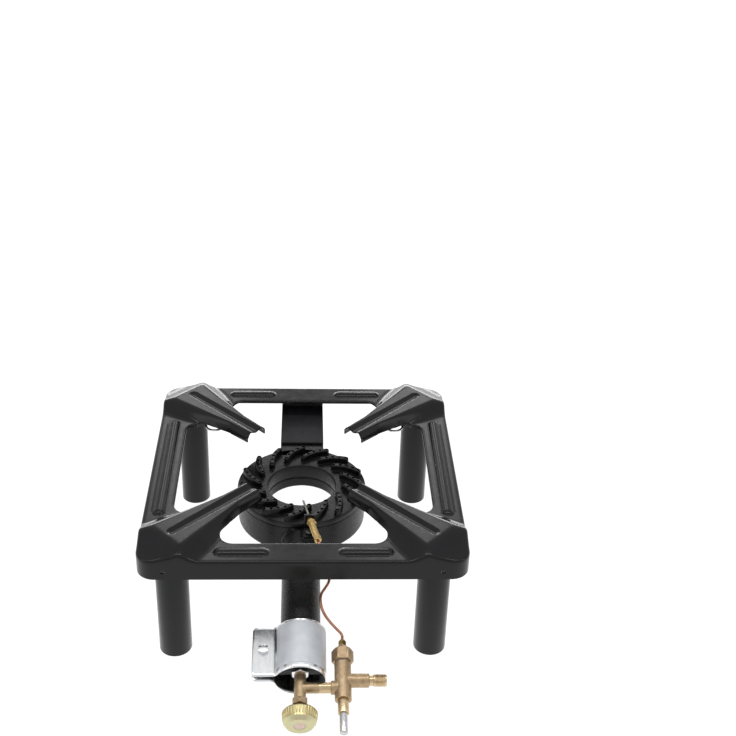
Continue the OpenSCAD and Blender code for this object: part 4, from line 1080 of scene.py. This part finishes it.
def pressed_frame():
    """The whole sheet: four mirrored quarters, skirt and lips folded down, holes drilled."""
    outline, free = quarter_points()
    points, _, faces, _, _, _ = delaunay_2d_cdt(outline + free, [], [list(range(len(outline)))], 1, 1e-6)
    bm = bmesh.new()
    for sx, sy in ((1, 1), (-1, 1), (-1, -1), (1, -1)):
        verts = [bm.verts.new((sx * p.x, sy * p.y, sheet_height(p.x, p.y))) for p in points]
        for face in faces:
            ring = [verts[i] for i in face]
            bm.faces.new(ring if sx * sy > 0 else ring[::-1])
    bmesh.ops.remove_doubles(bm, verts=bm.verts, dist=1e-5)
    rim = [e for e in bm.edges if e.is_boundary]

    def on_tip(vert):
        u = (abs(vert.co.x) + abs(vert.co.y)) / ROOT2
        return abs(u - ARM_END) < 1e-4 and max(abs(vert.co.x), abs(vert.co.y)) < TIP_REACH

    def on_skirt(vert):
        return skirt_gap(abs(vert.co.x), abs(vert.co.y)) < 1e-4

    def has_lip(vert):
        return vert.co.z - lip_end(vert.co.x, vert.co.y) > CLEAR

    skirt = [e for e in rim if on_skirt(e.verts[0]) and on_skirt(e.verts[1])]
    on_edge = set(skirt)
    lips = [e for e in rim if e not in on_edge and not (on_tip(e.verts[0]) and on_tip(e.verts[1]))]
    lips = [e for e in lips if has_lip(e.verts[0]) and has_lip(e.verts[1])]
    for edges, share, end_at in ((skirt, SKIRT_FIRST, skirt_end), (lips, LIP_FIRST, lip_end)):
        for last in (False, True):
            grown = bmesh.ops.extrude_edge_only(bm, edges=edges)["geom"]
            for vert in (g for g in grown if isinstance(g, bmesh.types.BMVert)):
                end = end_at(vert.co.x, vert.co.y)
                vert.co.z = end if last else vert.co.z + (end - vert.co.z) * share
            edges = [g for g in grown if isinstance(g, bmesh.types.BMEdge)]
    bmesh.ops.recalc_face_normals(bm, faces=bm.faces)
    top = max(bm.faces, key=lambda f: f.calc_center_median().z)
    if top.normal.z < 0:
        bmesh.ops.reverse_faces(bm, faces=bm.faces)
    mesh = bpy.data.meshes.new("pressed_frame")
    bm.to_mesh(mesh)
    bm.free()
    mesh.materials.append(BLACK_PAINT)
    piece = placed("pressed_frame", mesh)
    wall = piece.modifiers.new("sheet", "SOLIDIFY")
    wall.thickness = SHEET_T
    wall.offset = -1
    x, z, r = SKIRT_HOLE
    pin = ring_profile((-0.02, 0.02), 0, r, closed=False)
    pins = []
    for sx in (-1, 1):
        for sy in (-1, 1):
            place = Matrix.Translation((sx * x, sy * FRAME_HALF, z)) @ Matrix.Rotation(math.pi / 2, 4, "X")
            pins.append(turned("pin", pin, BLACK_PAINT, place, ease=0, sides=24))
    creased(drilled(piece, pins), 55)
    fit(piece, "stand", "frame_black", "top_frame")


# Legs, ring screws and strap

def leg(name, sx, sy):
    place = Matrix.Translation((sx * LEG_AT, sy * LEG_AT, 0))
    inner = LEG_R - LEG_WALL
    start = (0, inner + 0.001)
    profile = [start, (0, LEG_R), (LEG_TOP, LEG_R), (LEG_TOP, inner), (0, inner), start]
    fit(turned(name, profile, LEG_PAINT, place, ease=0.0005), "stand", "leg_black", name)


def torus(name, ring_r, wire_r, material):
    sides, round_sides = 48, 16
    verts, faces = [], []
    for i in range(sides):
        a = 2 * math.pi * i / sides
        here, there = i * round_sides, (i + 1) % sides * round_sides
        for k in range(round_sides):
            b = 2 * math.pi * k / round_sides
            reach = ring_r + wire_r * math.cos(b)
            verts.append(on_round(reach, a, wire_r * math.sin(b)))
            after = (k + 1) % round_sides
            faces.append((here + k, there + k, there + after, here + after))
    return tidy(new_piece(name, verts, faces, material))


def ring_screws():
    to_leg = Matrix.Rotation(math.pi / 2, 4, "Y")
    neck = RING_AT + RING_R
    ring = moved(torus("ring", RING_R, RING_WIRE_R, ZINC), Matrix.Translation((RING_AT, 0, 0)))
    shank = threaded("shank", neck + 0.0018, LEG_AT * ROOT2 - LEG_R - 0.0001, *M6, ZINC, to_leg, sides=24)
    cone = [(neck - 0.001, 0), (neck - 0.001, 0.0016), (neck + 0.002, 0.0025), (neck + 0.002, 0)]
    root = turned("root", cone, ZINC, to_leg)
    one = joined("ring_screws", [ring, shank, root])
    moved(one, Matrix.Translation((0, 0, RING_SCREW_Z)) @ Matrix.Rotation(math.pi / 4, 4, "Z"))
    run_tree(one, ROUND_REPEAT, Count=4, Finish=ZINC)
    fit(one, "stand", "zinc", "ring_screws")


def stand_pieces():
    for name, sx, sy in (("leg_front_left", -1, -1), ("leg_front_right", 1, -1),
                         ("leg_back_left", -1, 1), ("leg_back_right", 1, 1)):
        leg(name, sx, sy)
    ring_screws()
    for node, material, slot, width in (
            ("leg_brackets", BLACK_PAINT, "frame_black", 0.0004),
            # The strap's paint is lightened as painted light against the shade under the back rail.
            ("rear_strap", LIT_STRAP_PAINT, "frame_black", 0.0005),
            # The screws, bolts and nuts below get zinc darkened as painted shade.
            ("strap_lug_screws", SHADED_ZINC, "zinc", 0.0003),
            ("strap_frame_bolts", SHADED_ZINC, "zinc", 0.0003),
            ("strap_frame_nuts", SHADED_ZINC, "zinc", 0.0003),
            ("thermocouple_bracket", BLACK_PAINT, "frame_black", 0.0004),
            ("bracket_screw", SHADED_ZINC, "zinc", 0.0005)):
        fit(softened(node + "_finish", node, material, width), "stand", slot, node)


# Burner

def rib_outline(half):
    """Outline of one curved rib of the given half width, and the places of its ports."""
    count = 14
    inner, outer = polar(*RIB_IN), polar(*RIB_OUT)
    chord = outer - inner
    turn = math.atan2(chord.y, chord.x)
    depth = math.sqrt(RIB_CURVE_R ** 2 - chord.length_squared / 4)
    centre = (inner + outer) / 2 + polar(depth, turn - math.pi / 2)
    swing = math.asin(chord.length / 2 / RIB_CURVE_R)
    middle = turn + math.pi / 2
    points = arc_points(centre, RIB_CURVE_R + half, middle - swing, middle + swing, count)
    points += arc_points(inner, half, middle + swing, middle + swing + math.pi, 8)
    points += arc_points(centre, RIB_CURVE_R - half, middle + swing, middle - swing, count)
    points += arc_points(outer, half, middle - swing + math.pi, middle - swing + 2 * math.pi, 8)
    shares = [2 * i / (PORTS - 1) - 1 for i in range(PORTS)]
    ports = [centre + polar(RIB_CURVE_R, middle + swing * share) for share in shares]
    return points, ports


def rib():
    """One rib with a rounded crest, a foot that flares into the cap and its flame ports."""
    levels = ((-0.0006, 0.0010), (0.0004, 0.0003), (0.0016, 0),
              (RIB_H - 0.0012, -0.0001), (RIB_H - 0.0004, -0.0005), (RIB_H, -0.0013))
    verts = []
    for z, grow in levels:
        points, ports = rib_outline(RIB_HALF_W + grow)
        verts += [(p.x, p.y, CAP_Z + z) for p in points]
    count = len(points)
    faces = row_faces(len(levels), count, True)
    faces.append(list(range(len(verts) - count, len(verts))))
    faces.append(list(range(count))[::-1])
    piece = tidy(new_piece("rib", verts, faces, CAST_IRON), 50)
    low, high = CAP_Z + 0.001, CAP_Z + RIB_H
    hole = [(low, 0), (low, PORT_R), (high - 0.0006, PORT_R),
            (high + 0.001, PORT_R + PORT_FLARE), (high + 0.001, 0)]
    places = [Matrix.Translation((p.x, p.y, 0)) for p in ports]
    pins = [turned("port", hole, CAST_IRON, place, ease=0, sides=16) for place in places]
    return creased(drilled(piece, pins), 50)


def burner():
    centre = Matrix.Translation((BURNER_X, 0, 0))
    base = cast_copy("burner_base_cast", "burner_base", CAST_IRON, voxel=0.0014, rounds=5)
    base.data.materials.append(TUBE_IRON)
    for face in base.data.polygons:
        if face.center.y < TUBE_FROM_Y:
            face.material_index = 1
    fit(base, "stand", "cast_iron", "burner_base")
    joint, bore = CAP_Z - CAP_T, CAP_Z - BORE_WALL
    section = [(joint, CAP_IN_R), (bore, CAP_IN_R), (bore, HOLE_R), (CAP_Z, HOLE_R), (CAP_Z, CAP_R),
               (joint, CAP_R), (joint, CAP_SEAT_R)]
    plate = turned("cap_plate", section, CAST_IRON, centre, ease=CAST_EASE, sides=144)
    half, front, back = LUG
    lug = block("cap_lug", (BURNER_X - half, front, joint), (BURNER_X + half, back, CAP_Z), CAST_IRON,
                CAST_EASE)
    ribs = run_tree(rib(), ROUND_REPEAT, Count=RIB_COUNT, Finish=CAST_IRON)
    moved(ribs, centre)
    fit(joined("burner_cap_cast", [plate, lug, ribs]), "stand", "cast_iron", "burner_cap")


# Air shutter with its blank foil

def shutter_path():
    """Middle line of the shutter's sheet from the upper leaf's end round to the lower leaf's end."""
    halves = []
    for line, side in zip(LEAF_LINES, (1, -1)):
        rise = side * line + LEAF_BEND_R
        bend_x = -math.sqrt((SHUTTER_R + LEAF_BEND_R) ** 2 - rise ** 2)
        meet = math.atan2(rise, -bend_x)
        half = [Vector((-LEAF_REACH + (LEAF_REACH + bend_x) * i / 8, side * line)) for i in range(8)]
        half += arc_points((bend_x, rise), LEAF_BEND_R, -math.pi / 2, -meet, 10)
        half += arc_points((0, 0), SHUTTER_R, math.pi - meet, 0, 36)
        halves.append([Vector((p.x, side * p.y)) for p in half])
    return halves[0] + [Vector((SHUTTER_R, 0))] + halves[1][::-1]


def shutter_sheet(name, path, start, stop, material, thickness, corner_r):
    """Sheet bent along a path, with round corners at the ends of the path."""
    rows = 16
    verts = []
    travelled = 0.0
    lengths = [0.0]
    for a, b in zip(path, path[1:]):
        travelled += (b - a).length
        lengths.append(travelled)
    for p, length in zip(path, lengths):
        trim = fold_drop(min(length, travelled - length), corner_r)
        for j in range(rows + 1):
            s = start + trim + (stop - start - 2 * trim) * j / rows
            verts.append((p.x, p.y - MOUTH_DROP, s))
    piece = tidy(new_piece(name, verts, row_faces(len(path), rows + 1, False), material, TUBE), 50)
    wall = piece.modifiers.new("sheet", "SOLIDIFY")
    wall.thickness = thickness
    wall.offset = 0
    return creased(bevelled(piece, thickness * 0.2, angle=50), 50)


def air_shutter():
    sheet = shutter_sheet("air_shutter_sheet", shutter_path(), *SHUTTER, ZINC, SHUTTER_T, LEAF_CORNER_R)
    fit(sheet, "shutter", "zinc", "air_shutter")
    foil_path = arc_points((0, 0), SHUTTER_R + SHUTTER_T / 2 + FOIL_LIFT, *FOIL_ARC, 48)
    fit(shutter_sheet("shutter_foil", foil_path, *FOIL_S, FOIL, FOIL_T, FOIL_CORNER_R), "shutter", "zinc")
    leaf = along_tube(-CLAMP[0]) @ Matrix.Translation((0, 0, CLAMP[1]))
    leaf = leaf @ Matrix.Rotation(-math.pi / 2, 4, "X")
    face = (LEAF_LINES[0] - LEAF_LINES[1] + SHUTTER_T) / 2
    head = hexagon("head", face, face + CLAMP_HEAD, CLAMP_FLATS, ZINC, leaf)
    shank = threaded("shank", -face - CLAMP_TAIL, face, *M6, ZINC, leaf, sides=24)
    fit(joined("shutter_bolt_finish", [head, shank]), "shutter", "zinc", "shutter_bolt")
    nut = hexagon("shutter_nut_finish", -face - CLAMP_NUT, -face, CLAMP_FLATS, ZINC, leaf, bore=M6_BORE)
    fit(nut, "shutter", "zinc", "shutter_nut")


# Control valve and knob

def control_valve():
    fit(softened("injector_finish", "injector", BRASS, width=0.0002), "stand", "brass_turned", "injector")
    fit(hexagon("lock_nut", *LOCK_NUT, ZINC, TUBE, bore=LOCK_NUT_BORE), "stand", "zinc", "injector_nut")
    body = cast_copy("control_valve_stamping", "control_valve_body", STAMPED, voxel=0.0004, rounds=3)
    fit(body, "stand", "brass_body", "control_valve_body")
    nut = hexagon("nut", *GLAND_NUT, STAMPED, TUBE, bore=SPINDLE_BORE)
    hub = turned("hub", ring_profile(GLAND_HUB, SPINDLE_BORE, GLAND_HUB_R, closed=False), STAMPED, TUBE)
    fit(joined("gland_nut_finish", [nut, hub]), "stand", "brass_turned", "gland_nut")
    point, neck = NEEDLE_S
    needle = [(point, 0), (point, NEEDLE_R), (neck, SPINDLE_R), (SPINDLE_END, SPINDLE_R), (SPINDLE_END, 0)]
    fit(turned("spindle_finish", needle, BRASS, TUBE), "spindle", "brass_turned", "valve_spindle")
    pipe = turned("outlet_pipe", ring_profile(OUTLET, *OUTLET_R), BRASS, across(TUBE, CROSS_S))
    fit(pipe, "stand", "brass_turned", "outlet_nipple")


def knob_ridge():
    """One of the ridges round the knob, thinner towards its ends."""
    verts = []
    levels = ((0.2098, 0.0170, 0.0003), (0.2112, 0.0183, 0.00075),
              (0.2185, 0.01765, 0.00075), (0.2202, 0.0171, 0.0003))
    for s, reach, half in levels:
        rise = [(RIDGE_ROOT, half * 1.5), (reach - 0.0003, half * 1.1), (reach, half * 0.5)]
        verts += [(x, -y, s) for x, y in rise] + [(x, y, s) for x, y in reversed(rise)]
    faces = row_faces(len(levels), 6, False) + [(5, 4, 3, 2, 1, 0), (18, 19, 20, 21, 22, 23)]
    return tidy(new_piece("ridge", verts, faces, CHROMATE), 40)


def knob():
    hub = ring_profile((KNOB_WEB, KNOB_REAR), SPINDLE_BORE, KNOB_HUB_R, closed=False)
    core = turned("core", hub, CHROMATE, TUBE)
    side = [(KNOB_WEB, 0.0065), (KNOB_WEB, KNOB_RIM_R), (KNOB_REAR, KNOB_RIM_R), (KNOB_REAR, 0.0164),
            (0.2108, 0.0177), (0.2195, 0.0171), KNOB_EDGE]
    rim = turned("rim", side, CHROMATE, TUBE, ease=0.0005, sides=96)
    front = [KNOB_EDGE, (0.2218, 0.0168), (0.2258, 0.0137), (KNOB_FRONT, 0.0130), (KNOB_FRONT, 0.0078),
             (KNOB_DISH, 0.0074), (KNOB_DISH, 0.0059)]
    face = turned("face", front, CHROMATE_FACE, TUBE, ease=0.0006, sides=96)
    ridges = moved(run_tree(knob_ridge(), ROUND_REPEAT, Count=KNOB_RIDGES, Finish=CHROMATE), TUBE)
    fit(joined("valve_knob_finish", [core, rim, face, ridges]), "knob", "chromate", "valve_knob")
    dome = [(0.2225, 0), (0.2225, 0.0058), (0.2252, 0.0058), (0.2256, 0.0054), (0.2258, 0)]
    fit(turned("knob_centre", dome, ROSE, TUBE), "knob", "copper", "knob_screw")


# Safety valve

def safety_valve():
    body = cast_copy("safety_valve_stamping", "safety_valve_body", STAMPED, voxel=0.00045, rounds=3)
    fit(body, "stand", "brass_body", "safety_valve_body")
    bonnet = hexagon("bonnet", *BONNET, STAMPED, VALVE, bore=BONNET_BORE, turn=math.pi / 6)
    low, high = BONNET_NECK
    cone = [(low, BONNET_BORE), (low, 0.0054), (high, 0.0080), (high, BONNET_BORE)]
    fit(joined("bonnet_finish", [bonnet, turned("neck", cone, STAMPED, VALVE)]),
        "stand", "brass_body", "safety_valve_bonnet")
    nut = hexagon("nut", *LEAD_NUT, GOLD, VALVE, bore=LEAD_BORE)
    hub = turned("hub", ring_profile(LEAD_NUT_HUB, LEAD_BORE, LEAD_NUT_HUB_R, closed=False), GOLD, VALVE)
    fit(joined("thermocouple_nut_finish", [nut, hub]), "stand", "brass_turned", "thermocouple_nut")
    guide = turned("guide", ring_profile(GUIDE, *GUIDE_R), BRASS, VALVE, ease=0.0004)
    fit(guide, "stand", "brass_turned", "button_guide")
    low, high = BUTTON
    button = [(low, 0), (low, BUTTON_R), (high - 0.001, BUTTON_R), (high, 0.0032), (high, 0)]
    fit(turned("button_finish", button, STEEL, VALVE, ease=0.0005), "button", "steel", "push_button")
    return_spring()
    inlet()


def return_spring():
    """Coil behind the button; a real one shortens as the button is pushed, this one keeps one length."""
    low, high = SPRING[0] + SPRING_WIRE_R, SPRING[1] - SPRING_WIRE_R
    steps = 24
    coil = []
    for i in range(SPRING_TURNS * steps + 1):
        angle = math.tau * i / steps
        s = low + (high - low) * i / (SPRING_TURNS * steps)
        coil.append(VALVE @ Vector(on_round(SPRING_R, angle, s)))
    spring = wire("return_spring", coil, SPRING_WIRE_R, 12, STEEL)
    fit(spring, "stand", "steel", "button_spring")
    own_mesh(spring)


def inlet():
    """Threaded gas inlet at the right."""
    side = across(VALVE, INLET_S)
    start, (ease_at, end) = INLET_NECK[1], INLET_END
    neck = turned("neck", ring_profile(INLET_NECK, INLET_BORE, INLET_NECK_R, closed=False), BRASS, side)
    thread = threaded("thread", start, ease_at, *INLET_THREAD, BRASS, side, sides=64)
    lining = [(start, INLET_BORE), (start, 0.0060), (ease_at, 0.0060), (end, 0.0058), (end, INLET_BORE),
              (start, INLET_BORE)]
    mouth = turned("mouth", lining, BRASS, side)
    fit(joined("inlet_finish", [neck, thread, mouth]), "stand", "brass_turned", "inlet_nipple")


# Thermocouple

def spline(points, steps):
    """Smooth curve through the points."""
    last = len(points) - 1
    out = []
    for i in range(last):
        a, b, c, d = (points[max(i - 1, 0)], points[i], points[i + 1], points[min(i + 2, last)])
        for k in range(steps):
            t = k / steps
            bend = (2 * a - 5 * b + 4 * c - d) * t * t
            twist = (3 * b - a - 3 * c + d) * t ** 3
            out.append(0.5 * (2 * b + (c - a) * t + bend + twist))
    return out + [points[-1]]


def thermocouple():
    start = [SLEEVE @ Vector((0, 0, SLEEVE_L + d)) for d in LEAD_START]
    middle = [TUBE @ (Vector((x, y, s)) / 1000) for s, x, y in LEAD_ROUTE]
    end = [VALVE @ Vector((0, 0, s)) for s in LEAD_END]
    path = spline(start + middle + end, 8)
    fit(wire("copper_lead", path, LEAD_R, 20, COPPER), "stand", "copper", "thermocouple_lead")
    low, high = COLLAR
    section = [(-0.001, 0), (-0.001, SLEEVE_R), (low, SLEEVE_R), (low, COLLAR_R), (high, COLLAR_R),
               (high, SLEEVE_R), (SLEEVE_L, SLEEVE_R), (SLEEVE_L, LEAD_BORE), (SLEEVE_L - 0.004, LEAD_BORE)]
    body = turned("body", section, GOLD, SLEEVE)
    flats = hexagon("flats", SLEEVE_L - 0.006, SLEEVE_L - 0.001, SLEEVE_FLATS, GOLD, SLEEVE, bore=0.0035)
    fit(joined("sleeve_finish", [body, flats]), "stand", "brass_turned", "thermocouple_sleeve")
    rod = [(PROBE_END, 0), (-0.0270, 0.0007), (-0.0262, PROBE_R), (-0.001, PROBE_R), (-0.001, 0)]
    tip = turned("probe", rod, PROBE, SLEEVE, ease=0.0004, sides=32)
    fit(tip, "stand", "thermo_steel", "thermocouple_tip")


def hidden_nodes():
    """Finishes of the nodes that stay as packed, inside the valves."""
    for node, material in (("valve_packing", FIBRE), ("bonnet_gasket", FIBRE),
                           ("magnet_unit", STEEL), ("valve_stem", STEEL)):
        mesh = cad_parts[node].data
        mesh.materials.clear()
        mesh.materials.append(material)


bpy.context.scene.view_settings.view_transform = "Standard"
place_camera()
light_studio()
add_floor()
pressed_frame()
stand_pieces()
burner()
air_shutter()
control_valve()
knob()
safety_valve()
thermocouple()
hidden_nodes()
